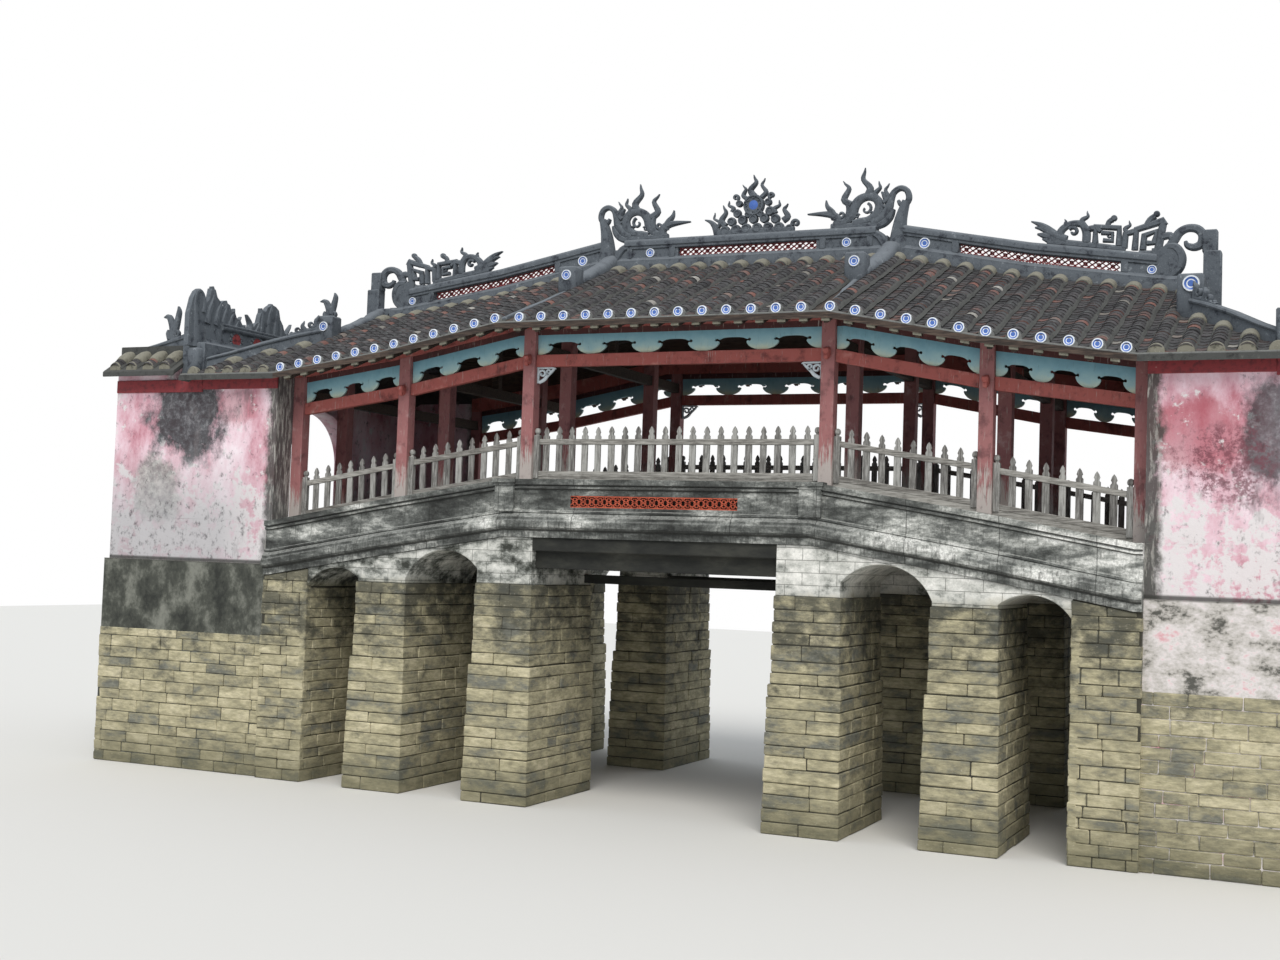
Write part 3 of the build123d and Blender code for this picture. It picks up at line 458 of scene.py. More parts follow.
# Pink limewash on lime plaster, brushed on year after year: washed pale, stained, blistered to white
def pinkLimewashFinish():
    finish, add, spot = newFinish("pinkLimewash")
    apart = add("SeparateXYZ", spot).outputs
    wash = clouds(add, spot, 0.42, 9.0, 0.68, scale=(1, 1, 0.5))
    rag = clouds(add, spot, 0.3, 9.0, 0.74, scale=(1, 1, 0.8))
    tone = add(
        "ValToRGB", wash, stops=((0.34, "b4727f"), (0.44, "d2a3ae"), (0.54, "e3c5ce"), (0.68, "f2e4e9"))
    )
    red = patchAt(add, spot, rag, (7.75, -3.55, 5.75), (0.75, 1.0, 0.55))
    colour = add("MixRGB", add("Math", red, 0.62, operation="MULTIPLY"), tone, "a8505a")
    flush = patchAt(add, spot, rag, (-8.0, -3.55, 6.25), (0.6, 1.0, 0.35))
    colour = add("MixRGB", add("Math", flush, 0.5, operation="MULTIPLY"), colour, "b0606b")
    # blisters down to the white undercoat, more of them low on the walls
    low = add("MapRange", apart["Z"], 5.4, 4.2, -0.03, 0.12)
    bare = add("Math", clouds(add, spot, 0.16, 9.0, 0.74), low, operation="ADD")
    colour = add("MixRGB", add("ValToRGB", bare, stops=((0.55, 0.0), (0.6, 0.9))), colour, "ddd9d8")
    rough = patchAt(add, spot, rag, (-9.6, -3.55, 4.75), (0.55, 1.0, 0.62))
    plaster = add(
        "ValToRGB", clouds(add, spot, 0.09, 9.0, 0.75),
        stops=((0.38, "55534e"), (0.48, "8d8a83"), (0.6, "bdbab2"))
    )
    colour = add("MixRGB", add("Math", rough, 0.85, operation="MULTIPLY"), colour, plaster)
    # black mould: one great stain on the left wall, one on the right, damp at the corners
    soot = patchAt(add, spot, rag, (-8.95, -3.55, 6.1), (0.95, 1.0, 0.8))
    crust = add(
        "ValToRGB", clouds(add, spot, 0.07, 8.0, 0.75),
        stops=((0.4, "25292b"), (0.52, "43484b"), (0.66, "75787a"))
    )
    colour = add("MixRGB", add("Math", soot, 0.95, operation="MULTIPLY"), colour, crust)
    second = patchAt(add, spot, rag, (8.66, -3.55, 5.75), (0.42, 1.0, 0.85))
    colour = add("MixRGB", add("Math", second, 0.85, operation="MULTIPLY"), colour, crust)
    bruise = patchAt(add, spot, rag, (8.1, -3.55, 5.35), (0.65, 1.0, 0.6))
    spots = add("ValToRGB", clouds(add, spot, 0.06, 8.0, 0.78), stops=((0.47, 0.0), (0.56, 0.8)))
    colour = add("MixRGB", add("Math", bruise, spots, operation="MULTIPLY"), colour, "6f3f49")
    veil = add(
        "ValToRGB", clouds(add, spot, 0.5, 9.0, 0.74, scale=(1.5, 1.5, 0.6)), stops=((0.58, 0.0), (0.68, 0.6))
    )
    colour = add("MixRGB", veil, colour, "6b6465")
    away = add("Math", apart["X"], operation="ABSOLUTE")
    corner = add("MapRange", away, 7.42, 7.1, 0.0, 0.5)
    damp = add("Math", rag, 0.9, corner, operation="MULTIPLY_ADD")
    colour = add("MixRGB", add("ValToRGB", damp, stops=((0.6, 0.0), (0.76, 0.92))), colour, "3b3b36")
    streak = clouds(add, spot, 0.07, 7.0, 0.7, scale=(2.0, 2.0, 0.3))
    white = add("Math", corner, add("ValToRGB", streak, stops=((0.5, 0.0), (0.6, 1.0))), operation="MULTIPLY")
    colour = add("MixRGB", white, colour, "cfccc4")
    # the left wall has gone grey towards its foot, pitted with black
    west = add(
        "Math", add("MapRange", apart["X"], -7.0, -8.2, 0.0, 1.0),
        add("MapRange", apart["Z"], 5.6, 4.3, 0.0, 0.75), operation="MULTIPLY"
    )
    colour = add("MixRGB", west, colour, "a8a7a9")
    pits = clouds(add, spot, 0.085, 9.0, 0.78, scale=(1, 1, 0.8))
    pitted = add(
        "ValToRGB", add("Math", west, 0.05, pits, operation="MULTIPLY_ADD"), stops=((0.56, 0.0), (0.66, 0.7))
    )
    colour = add("MixRGB", pitted, colour, "3c3b3c")
    # the plinth below the ledge: peeled white and pink on the right bank, dark grey to black on the left
    peeled = add(
        "ValToRGB", clouds(add, spot, 0.3, 9.0, 0.74, scale=(1, 1, 1.5)),
        stops=((0.38, "55544e"), (0.45, "b7b2ab"), (0.56, "ddd6d4"), (0.62, "d9aeb2"), (0.7, "cf8f95"))
    )
    gloom = add("ValToRGB", rag, stops=((0.38, "2a2c28"), (0.5, "474942"), (0.64, "7b7c73")))
    bank = add("MapRange", apart["X"], -6.0, 6.0, 0.0, 1.0)
    foot = add("MixRGB", bank, gloom, peeled)
    below = add("MapRange", apart["Z"], bridge["plinthTop"] + 0.01, bridge["plinthTop"] - 0.01, 0.0, 1.0)
    colour = add("MixRGB", below, colour, foot)
    inside = add("MapRange", away, bridge["gateFace"] + 0.01, bridge["gateFace"], 0.0, 1.0)
    bed = add("Math", below, inside, operation="MULTIPLY")
    colour = add("MixRGB", bed, colour, "3b392f")
    # painted shade: a dark band along the crease where the wall meets the plinth's ledge
    overLedge = add("Math", apart["Z"], bridge["plinthTop"] + 0.02, operation="SUBTRACT")
    ledge = add("Math", overLedge, operation="ABSOLUTE")
    colour = add("MixRGB", add("MapRange", ledge, 0.05, 0.02, 0.0, 0.85), colour, "3a3a36")
    # the floor of the gatehouses is trodden cement
    facing = add("SeparateXYZ", add("NewGeometry").outputs["Normal"]).outputs["Z"]
    trodden = add(
        "Math", add("MapRange", facing, 0.6, 0.9, 0.0, 1.0),
        add("MapRange", apart["Z"], 4.7, 4.5, 0.0, 1.0),
        operation="MULTIPLY"
    )
    colour = add("MixRGB", trodden, colour, plaster)
    grit = clouds(add, spot, 0.014, 5.0, 0.7)
    return finishOff(finish, add, 0.92, colour, add("Math", grit, 0.3, bare, operation="MULTIPLY_ADD"), 0.014)


# Clay tile, pressed and fired without glaze: near black with age, a few brick red, some lichen-pale
def clayTileFinish():
    finish, add, spot = newFinish("clayTileUnglazed")
    island = add("NewGeometry").outputs["Random Per Island"]
    tone = add("ValToRGB", island, stops=(
        (0.0, "282728"), (0.35, "383637"), (0.6, "484445"), (0.8, "363435"), (0.9, "57433f"),
        (0.955, "7c5349"), (0.985, "77736c"), (1.0, "a5a19a"),
    ))
    lichen = clouds(add, spot, 0.07, 8.0, 0.7)
    colour = add("MixRGB", add("ValToRGB", lichen, stops=((0.5, 0.0), (0.64, 0.65))), tone, "5f6160")
    dust = clouds(add, spot, 0.02, 5.0, 0.8)
    colour = add("MixRGB", add("ValToRGB", dust, stops=((0.58, 0.0), (0.72, 0.45))), colour, "8c8b88")
    return finishOff(finish, add, 0.84, colour, lichen, 0.008, 0.7)


# Lime mortar modelled by hand over brick: slate grey in blotches, paler on the faces that point up
def modelledMortarFinish(name, dark, mid, pale, cap, size):
    finish, add, spot = newFinish(name)
    broad = clouds(add, spot, size, 9.0, 0.72)
    tone = add("ValToRGB", broad, stops=((0.34, dark), (0.48, mid), (0.6, mid), (0.74, pale)))
    speck = clouds(add, spot, 0.014, 4.0, 0.75)
    colour = add("MixRGB", add("ValToRGB", speck, stops=((0.58, 0.0), (0.72, 0.55))), tone, pale)
    facing = add("SeparateXYZ", add("NewGeometry").outputs["Normal"]).outputs["Z"]
    colour = add("MixRGB", add("MapRange", facing, 0.25, 1.0, 0.0, 0.6), colour, cap)
    return finishOff(
        finish, add, 0.9, colour, add("Math", speck, 0.3, broad, operation="MULTIPLY_ADD"), 0.012,
    )


# Softwood under oxide red paint, brushed: chalked by the sun, worn to grey wood near the deck
def redPaintFinish(name, deep, mid, chalk, wear):
    finish, add, spot = newFinish(name)
    apart = add("SeparateXYZ", spot).outputs
    above = levelAbove(add, apart, bridge["deckTop"], bridge["deckFalls"])
    fibre = clouds(add, spot, 0.2, 6.0, 0.65, scale=(14.0, 14.0, 1.2))
    cloud = clouds(add, spot, 0.2, 7.0, 0.66)
    tone = add("ValToRGB", cloud, stops=((0.32, deep), (0.46, mid), (0.58, mid), (0.74, chalk)))
    low = add("MapRange", above, 0.75, 0.0, 0.0, wear)
    worn = add("ValToRGB", add("Math", fibre, low, operation="ADD"), stops=((0.6, 0.0), (0.74, 0.9)))
    colour = add("MixRGB", worn, tone, "b3aca6")
    grime = add(
        "ValToRGB", clouds(add, spot, 0.05, 6.0, 0.7, scale=(1, 1, 0.6)), stops=((0.56, 0.0), (0.7, 0.55))
    )
    colour = add("MixRGB", grime, colour, "46302f")
    return finishOff(finish, add, 0.74, colour, fibre, 0.004, 0.6)


# Bare hardwood left to the weather: silver grey fibres with dark checks
def weatheredWoodFinish(name, dark, mid, pale, along):
    finish, add, spot = newFinish(name)
    scale = [11.0, 11.0, 11.0]
    scale[along] = 0.9
    fibre = clouds(add, spot, 0.15, 7.0, 0.7, scale=tuple(scale))
    island = add("NewGeometry").outputs["Random Per Island"]
    shade = add("Math", island, 0.16, fibre, operation="MULTIPLY_ADD")
    tone = add("ValToRGB", shade, stops=((0.38, dark), (0.54, mid), (0.68, pale)))
    wet = add("ValToRGB", clouds(add, spot, 0.12, 6.0, 0.7), stops=((0.55, 0.0), (0.7, 0.6)))
    colour = add("MixRGB", wet, tone, dark)
    return finishOff(finish, add, 0.86, colour, fibre, 0.004, 0.7)


# Teal oil paint on a carved board: fades to a pale yellow towards the lintel, with rain streaks
def tealPaintFinish():
    finish, add, spot = newFinish("tealPaintOnBoard")
    apart = add("SeparateXYZ", spot).outputs
    above = levelAbove(add, apart, bridge["lintelTop"], bridge["lintelFalls"])
    reach = add("Math", clouds(add, spot, 0.12, 6.0, 0.65), 0.22, above, operation="MULTIPLY_ADD")
    tone = add("ValToRGB", reach, stops=(
        (0.07, "e6dfbd"), (0.14, "c6d6c6"), (0.22, "a3c5c8"), (0.34, "86b2bf"), (0.46, "6c9aab"),
    ))
    rain = clouds(add, spot, 0.2, 6.0, 0.7, scale=(9.0, 9.0, 1.5))
    colour = add("MixRGB", add("ValToRGB", rain, stops=((0.58, 0.0), (0.74, 0.5))), tone, "566a6c")
    return finishOff(finish, add, 0.66, colour, rain, 0.003, 0.5)


# Glazed porcelain, painted under the glaze: glassy, with grime where rain dries
def porcelainFinish(name, code):
    finish, add, spot = newFinish(name)
    film = add("ValToRGB", clouds(add, spot, 0.016, 6.0, 0.7), stops=((0.52, 0.0), (0.74, 0.35)))
    return finishOff(finish, add, 0.34, add("MixRGB", film, code, "7d7a70"), ior=1.52)


# Terracotta grille and lattice, moulded in clay and lime-painted: orange or deep red, darker and paler in
# blotches
def terracottaFinish(name, bright, deep, scuffed):
    finish, add, spot = newFinish(name)
    cloud = clouds(add, spot, 0.055, 7.0, 0.7)
    tone = add("ValToRGB", cloud, stops=((0.36, deep), (0.52, bright), (0.66, bright), (0.76, scuffed)))
    return finishOff(finish, add, 0.8, tone, cloud, 0.004, 0.6)


sandstone = sandstoneFinish()
jointMortar = modelledMortarFinish("jointMortar", "25241f", "38362e", "565246", "4a473c", 0.12)
spandrelRender = spandrelFinish()
corniceRender = corniceFinish()
beamCement = beamFinish()
pinkLimewash = pinkLimewashFinish()
clayTile = clayTileFinish()
ridgeMortar = modelledMortarFinish("ridgeMortar", "272b34", "595f65", "989ea3", "7a7f84", 0.1)
tileMortar = modelledMortarFinish("tileMortar", "3c3d3b", "666765", "9b9b95", "7f7f7a", 0.08)
filletMortar = modelledMortarFinish("filletMortar", "2a2a29", "454644", "72726c", "555551", 0.06)
lumpMortar = modelledMortarFinish("lumpMortar", "4a4940", "797669", "a9a698", "8d8a7d", 0.06)
redPaint = redPaintFinish("oxideRedOnBeam", "6a3330", "a3564f", "bd8279", 0.2)
# painted shade: a darker copy of the red paint, for the rail in the shade under the eave
shadedRailPaint = redPaintFinish("oxideRedInShade", "2e1919", "4a2524", "643837", 0.1)
postPaint = redPaintFinish("oxideRedOnPost", "704546", "9a6564", "bb9a97", 0.42)
greyWood = weatheredWoodFinish("teakWeatheredGrey", "4f4c49", "807e7a", "a9a8a3", 2)
railWood = weatheredWoodFinish("teakWeatheredRail", "57534e", "8a8781", "adaaa3", 0)
# dark timber, also used as painted shade on the sheet behind the grilles
darkWoodAndShade = weatheredWoodFinish("ironwoodDarkAndShade", "1d1916", "372d27", "54463c", 0)
deckWood = weatheredWoodFinish("deckPlankWorn", "3a2f27", "5f4f42", "83715f", 1)
tealPaint = tealPaintFinish()
porcelainWhite = porcelainFinish("porcelainWhite", "e4e9ee")
porcelainBlue = porcelainFinish("porcelainBlue", "4469b4")
latticeRed = terracottaFinish("latticeRedClay", "8f3b3c", "52252a", "b28f88")
grilleOrange = terracottaFinish("grilleOrangeClay", "b5543a", "7c2f1d", "d09a86")
stringRed = terracottaFinish("stringcourseRedWash", "8a3539", "642b30", "c9a8a4")
scrollPaint = porcelainFinish("scrollWhitePaint", "c9d3d8")
print("materials ready")

# Finishes of the frame's own nodes, by the start of a node's name
finishByNode = {
    "pier": jointMortar, "arch_wall": spandrelRender, "abutment": pinkLimewash, "cornice": corniceRender,
    "middle_beams": beamCement, "deck": deckWood, "base_grilles": grilleOrange, "gate_walls": pinkLimewash,
    "gateway_wall": pinkLimewash, "roof": darkWoodAndShade, "gate_roof": filletMortar, "wing_copings": filletMortar,
    "ridge": ridgeMortar, "verge_bands": ridgeMortar, "gate_bands": ridgeMortar, "gate_ridge": ridgeMortar,
    "fence": greyWood, "friezes": tealPaint, "outer_columns": postPaint, "inner_columns": postPaint,
    "lintels": redPaint, "eave_plates": redPaint, "purlins": darkWoodAndShade, "cross_frames": darkWoodAndShade,
}
edgeByNode = {
    "outer_columns": 0.012, "inner_columns": 0.012, "lintels": 0.01, "cross_frames": 0.01,
    "wing_copings": 0.02, "middle_beams": 0.012, "arch_wall": 0.012, "cornice": 0.01,
    "gate_walls": 0.003, "gateway_wall": 0.003, "abutment": 0.003,
}
for name, node in cadNodes.items():
    kind = max((k for k in finishByNode if name.startswith(k)), key=len)
    node.data.materials.clear()
    node.data.materials.append(finishByNode[kind])
    if kind in edgeByNode:
        # worn edges: the frame's mesh stays, and the modifiers only round what shows
        join = node.modifiers.new("join", "WELD")
        join.merge_threshold = 0.0005
        worn = node.modifiers.new("wornEdges", "BEVEL")
        worn.width = edgeByNode[kind]
        worn.segments = 2
        worn.limit_method = "ANGLE"
        worn.angle_limit = math.radians(32)
        worn.harden_normals = False
print("frame nodes finished")

# Ashlar of the piers and abutments

ashlar = {"course": 0.178, "uneven": 0.2, "joint": 0.008, "proud": 0.017, "edge": 0.011, "shake": 0.007}
piers = {"inner": (2.0, 2.97, 3.4), "outer": (4.29, 5.2, 3.34)}
pierStage = {"step": 2.13, "footOut": 0.075, "stepOut": 0.045, "aboveOut": 0.015, "back": 1.6}
abutment = {"jamb": 6.2, "end": 10.66, "half": 3.61, "deep": 0.1, "springTop": 3.2, "plasterFoot": 2.35}


def courseLevels(low, high):
    # Levels of the bed joints, each course a little higher or lower than the next
    count = max(1, round((high - low) / ashlar["course"]))
    heights = [1 + random.uniform(-ashlar["uneven"], ashlar["uneven"]) for _ in range(count)]
    levels = [low]
    for height in heights:
        levels.append(levels[-1] + (high - low) * height / sum(heights))
    return levels


def addStone(shape, corners):
    shake = ashlar["shake"]
    worn = []
    for corner in corners:
        push = Vector((random.uniform(-1, 1), random.uniform(-1, 1), random.uniform(-0.5, 0.5))) * shake
        moved = corner + push
        worn.append(Vector((moved.x, moved.y, max(moved.z, 0.002))))
    addBlock(shape, worn, ashlar["edge"] * random.uniform(0.7, 1.5))


def pierGrowth(z, top):
    if z < pierStage["step"]:
        return pierStage["footOut"] + (pierStage["stepOut"] - pierStage["footOut"]) * z / pierStage["step"]
    return pierStage["aboveOut"] * (top - z) / (top - pierStage["step"])


def layPier(shape, xa, xb, top, side):
    levels = courseLevels(0.0, pierStage["step"]) + courseLevels(pierStage["step"], top)[1:]
    ya, yb = -bridge["baseHalf"], -pierStage["back"]
    for row, (low, high) in enumerate(zip(levels, levels[1:])):
        out = pierGrowth((low + high) / 2, top)
        long = [0.0, 1.0] if row % 3 == 1 else [0.0, random.uniform(0.3, 0.7), 1.0]
        lengths = [0.0, random.uniform(0.2, 0.34), random.uniform(0.44, 0.6), random.uniform(0.72, 0.86), 1.0]
        half = ashlar["joint"] / 2
        for ta, tb in zip(lengths, lengths[1:]):
            for sa, sb in zip(long, long[1:]):
                grow = ashlar["proud"] + random.uniform(-0.006, 0.007)
                x0 = xa - out + (xb - xa + 2 * out) * sa + (half if sa else -grow)
                x1 = xa - out + (xb - xa + 2 * out) * sb - (half if sb < 1 else -grow)
                y0 = ya - out + (yb - ya + 2 * out) * ta + (half if ta else -grow)
                y1 = ya - out + (yb - ya + 2 * out) * tb - (half if tb < 1 else -grow)
                gap = half + random.uniform(-0.001, 0.003)
                corners = boxCorners((x0, y0, low + gap), (x1, y1, high - gap))
                addStone(shape, [Vector((c.x * side[0], c.y * side[1], c.z)) for c in corners])


def layFace(shape, start, end, outward, low, topFn):
    # Stones on one upright face, from start to end in plan, as high as topFn says at each place
    run = Vector((end[0] - start[0], end[1] - start[1], 0.0))
    way = run.normalized()
    length = run.length
    face = Vector((outward[0], outward[1], 0.0))
    top = max(topFn(0.0), topFn(1.0))
    half = ashlar["joint"] / 2
    levels = courseLevels(low, top)
    for bottom, above in zip(levels, levels[1:]):
        at = -random.uniform(0.1, 0.45)
        while at < length:
            step = random.uniform(0.38, 0.72)
            a, b = max(at, 0.0), min(at + step, length)
            at += step
            if b - a < 0.06:
                continue
            highA, highB = min(above, topFn(a / length)), min(above, topFn(b / length))
            if min(highA, highB) - bottom < 0.05:
                continue
            grow = ashlar["proud"] + random.uniform(-0.006, 0.007)
            ends = (a + (half if a > 0 else -grow * 0.6), b - (half if b < length else -grow * 0.6))
            base = Vector((start[0], start[1], 0.0))
            corners = []
            for place, high in zip(ends, (highA, highB)):
                for deep in (-abutment["deep"], grow):
                    for z in (bottom + half, high - half):
                        corners.append(base + way * place + face * deep + Vector((0, 0, z)))
            addStone(shape, corners)


for label, (xa, xb, top) in piers.items():
    for sx, endName in ((1, "right"), (-1, "left")):
        stones = Shape()
        for sy in (1, -1):
            layPier(stones, xa, xb, top, (sx, sy))
        makePiece(f"ashlar_{label}_{endName}", stones, [sandstone], smoothAngle=30)


def underCornice(x):
    return deckAt(x) - bridge["corniceDepth"] - 0.01


for sx, endName in ((1, "right"), (-1, "left")):
    stones = Shape()
    jamb, face, end = abutment["jamb"], bridge["gateFace"], abutment["end"]
    for sy in (1, -1):
        near, far = (sx * jamb, sy * bridge["baseHalf"]), (sx * face, sy * bridge["baseHalf"])
        layFace(stones, near, far, (0, sy), 0.0, lambda t: underCornice(jamb + (face - jamb) * t))
        # below the plaster of the plinth
        layFace(stones, (sx * face, sy * abutment["half"]), (sx * end, sy * abutment["half"]), (0, sy), 0.0,
                lambda t: abutment["plasterFoot"])
    layFace(stones, (sx * jamb, -bridge["baseHalf"]), (sx * jamb, bridge["baseHalf"]), (-sx, 0), 0.0,
            lambda t: abutment["springTop"])
    layFace(stones, (sx * end, -abutment["half"]), (sx * end, abutment["half"]), (sx, 0), 0.0,
            lambda t: abutment["plasterFoot"])
    makePiece(f"ashlar_abutment_{endName}", stones, [sandstone], smoothAngle=30)
print("stones laid")

# Roof tiles

tiles = {
    "pitch": 0.385, "sidePitch": 0.3725, "sideStart": 2.745, "rollHalf": 0.114, "rollHeight": 0.107,
    "show": 0.155, "lap": 0.05, "thick": 0.014, "panHalf": 0.1, "panSag": 0.024, "eaveIn": 0.05,
    "ridgeOut": 0.16, "capLength": 0.24,
}
middleRows = [tiles["pitch"] * i for i in range(-6, 7)]
sideRows = [tiles["sideStart"] + tiles["sidePitch"] * i for i in range(13)]
hipRows = [tiles["sideStart"] + tiles["sidePitch"] * i for i in range(13, 17)]
acrossX = Vector((1, 0, 0))
lumpSteps = ((0.0, 0.9, 0.0), (0.015, 1.08, 0.01), (0.1, 1.14, 0.018), (0.24, 1.08, 0.016), (0.33, 0.92, 0.0))


def addRollTile(shape, foot, head, across, up, half, height):
    # One barrel tile: foot and head are the middle of its lower and upper end on the slope
    points, faces = [], []
    arc = 7
    for centre, scale in ((foot, 1.0), (head, 0.94)):
        for k in range(arc + 1):
            turn = math.pi * k / arc
            points.append(
                centre - across * (half * scale * math.cos(turn)) + up * (height * scale * math.sin(turn))
            )
    shrink = 1 - tiles["thick"] / half
    for k in range(arc + 1):
        turn = math.pi * k / arc
        points.append(
            foot - across * (half * shrink * math.cos(turn)) + up * (height * shrink * math.sin(turn))
        )
    n = arc + 1
    for k in range(arc):
        faces.append((k, k + 1, n + k + 1, n + k))
        faces.append((2 * n + k, 2 * n + k + 1, k + 1, k))
    shape.add(points, faces)


def addPanTile(shape, foot, head, across, up, half, sag):
    # One channel tile: a shallow dished plate with a front edge
    points, faces = [], []
    arc = 4
    for centre, drop in ((foot, 0.0), (head, -tiles["thick"]), (foot, -tiles["thick"])):
        for k in range(arc + 1):
            t = 2 * k / arc - 1
            points.append(centre + across * (half * t) + up * (sag * t * t + drop))
    n = arc + 1
    for k in range(arc):
        faces.append((k, k + 1, n + k + 1, n + k))
        faces.append((2 * n + k, 2 * n + k + 1, k + 1, k))
    shape.add(points, faces)


def addFillet(shape, foot, head, across, up, finish=3):
    # Mortar smeared along the flank of a row; across points from the roll to the channel
    steps = max(2, round((head - foot).length / 0.17))
    points = []
    for i in range(steps + 1):
        at = foot.lerp(head, i / steps)
        wide = random.uniform(0.014, 0.04)
        tall = random.uniform(0.034, 0.062)
        points += [
            at + across * 0.085 + up * (tall + 0.012), at + across * 0.112 + up * tall,
            at + across * (0.112 + wide * 0.45) + up * (tall * 0.48),
            at + across * (0.112 + wide) + up * 0.012,
        ]
    faces = [(4 * i + k, 4 * i + k + 1, 4 * i + k + 5, 4 * i + k + 4) for i in range(steps) for k in range(3)]
    shape.add(points, faces, finish)


def slopeUp(way, across):
    up = across.cross(way)
    return -up if up.z < 0 else up


def layRoll(shape, eave, ridge, across):
    # A row of barrel tiles from its eave point to its ridge point, closed by a lump of mortar
    run = ridge - eave
    way = run.normalized()
    up = slopeUp(way, across)
    end = run.length - tiles["capLength"]
    count = max(1, round(end / tiles["show"]))
    show = end / count
    half, height = tiles["rollHalf"], tiles["rollHeight"]
    for i in range(count):
        foot = eave + way * (show * i) + across * random.uniform(-0.005, 0.005)
        lift = random.uniform(0.0, 0.006)
        head = foot + way * (show + tiles["lap"]) + up * lift
        addRollTile(shape, foot + up * (lift + random.uniform(0.006, 0.013)), head, across, up, half, height)
    for turn in (-1, 1):
        addFillet(shape, eave, eave + way * end, across * turn, up)
    # the lump swells at its foot and its shoulder runs into the ridge
    points = []
    arc = 8
    for along, grow, lift in lumpSteps:
        at = eave + way * (end - 0.08 + along) + up * lift
        for k in range(arc + 1):
            turn = math.pi * k / arc
            points.append(
                at - across * (half * grow * math.cos(turn)) + up * (height * grow * math.sin(turn))
            )
    n = arc + 1
    faces = [
        (r * n + k, r * n + k + 1, (r + 1) * n + k + 1, (r + 1) * n + k) for r in range(4) for k in range(arc)
    ]
    faces.append(tuple(range(n)))
    shape.add(points, faces, 2)


def layChannel(shape, eave, ridge, across):
    # A row of channel tiles, each lip a little proud of the next
    run = ridge - eave
    way = run.normalized()
    up = slopeUp(way, across)
    count = max(1, round(run.length / tiles["show"]))
    show = run.length / count
    for i in range(count):
        foot = eave + way * (show * i) + up * (tiles["thick"] + random.uniform(0.002, 0.007))
        head = foot + way * (show + 0.03) + up * 0.003
        addPanTile(shape, foot, head, across, up, tiles["panHalf"], tiles["panSag"])


def layDish(shape, centre, facing, radius, finishes):
    # A porcelain saucer set in mortar: white rim, blue band, white band and blue heart
    side = facing.cross(Vector((0, 0, 1))).normalized()
    top = side.cross(facing).normalized()
    rings = (
        (1.06, -0.25, 0), (1.0, 0.1, 0), (0.82, 0.1, 0), (0.78, 0.06, 1), (0.56, 0.02, 1), (0.52, 0.0, 0),
        (0.42, 0.0, 0), (0.38, 0.0, 1), (0.1, 0.0, 1),
    )
    sides = 18
    base = len(shape.points)
    for share, out, _ in rings:
        for k in range(sides):
            turn = 2 * math.pi * k / sides
            place = centre + (side * math.cos(turn) + top * math.sin(turn)) * (radius * share)
            shape.points.append(place + facing * (radius * out))
    for r in range(len(rings) - 1):
        for k in range(sides):
            m = (k + 1) % sides
            a, b = base + r * sides, base + (r + 1) * sides
            shape.faces.append((a + k, a + m, b + m, b + k))
            shape.finish.append(finishes[rings[r + 1][2]])
    shape.faces.append(tuple(base + (len(rings) - 1) * sides + k for k in range(sides)))
    shape.finish.append(finishes[1])


def layEaveEnd(shape, foot, outward, finish):
    # The mortar arch that closes a roll at the eave
    up = Vector((0, 0, 1))
    points, faces = [], []
    arc = 12
    for deep, grow in ((0.085, 0.96), (0.02, 1.02), (0.0, 1.0), (-0.012, 0.92)):
        for k in range(arc + 1):
            turn = math.pi * k / arc
            high = up * (0.004 + 0.148 * grow * math.sin(turn))
            points.append(foot - outward * deep - acrossX * (0.12 * grow * math.cos(turn)) + high)
    n = arc + 1
    for r in range(3):
        for k in range(arc):
            faces.append((r * n + k, r * n + k + 1, (r + 1) * n + k + 1, (r + 1) * n + k))
    faces.append(tuple(3 * n + k for k in range(n)))
    faces.append((0, n, 2 * n, 3 * n, 3 * n + arc, 2 * n + arc, n + arc, arc))
    shape.add(points, faces, finish)


def slopePoint(x, y):
    return Vector((x, y, roofTopAt(x, y)))


def laySlope(rows, side):
    # Rows of one roof slope and the channels between them; side is -1 at the front and 1 at the rear
    shape = Shape()
    yEave = side * (bridge["eaveHalf"] - tiles["eaveIn"])
    yRidge = side * tiles["ridgeOut"]
    for x in rows:
        layRoll(shape, slopePoint(x, yEave), slopePoint(x, yRidge), acrossX)
    edges = sorted(rows)
    for a, b in zip(edges, edges[1:]):
        x = (a + b) / 2
        layChannel(shape, slopePoint(x, yEave + side * 0.012), slopePoint(x, yRidge), acrossX)
    return shape


# Eave, rafters and the saucers at the row ends

eave = {
    "foot": 3.816, "sunk": 0.012, "dish": 0.075, "dishOut": 0.022, "dishUp": 0.082, "bedEnd": 8.95,
    "rafterPitch": 0.335, "rafterReach": 6.95, "rafterHalf": 0.035, "rafterDeep": 0.085,
    "rafterY": (3.11, 3.8), "endHalf": 0.062, "endHigh": 0.036, "endDrop": 0.012, "endY": (3.79, 3.835),
    "endLevel": 3.82,
}

# The hips run from the end of the main ridge down to the corners of the gatehouse
hip = {"topX": 7.39, "topY": 1.75, "footX": 8.83, "footY": 3.64}
hipRun = (hip["footY"] - hip["topY"]) / (hip["footX"] - hip["topX"])
underHip = {"clear": 0.06, "rowFoot": 3.8, "panFoot": 3.812, "shortest": 0.32, "panTop": 1.95, "panLast": 3.6}
hipEnd = {"rowFoot": 8.7, "panFoot": 8.72, "top": 7.62, "flatHalf": 1.55, "shortest": 0.42}


def hipY(x):
    return hip["topY"] + (abs(x) - hip["topX"]) * hipRun


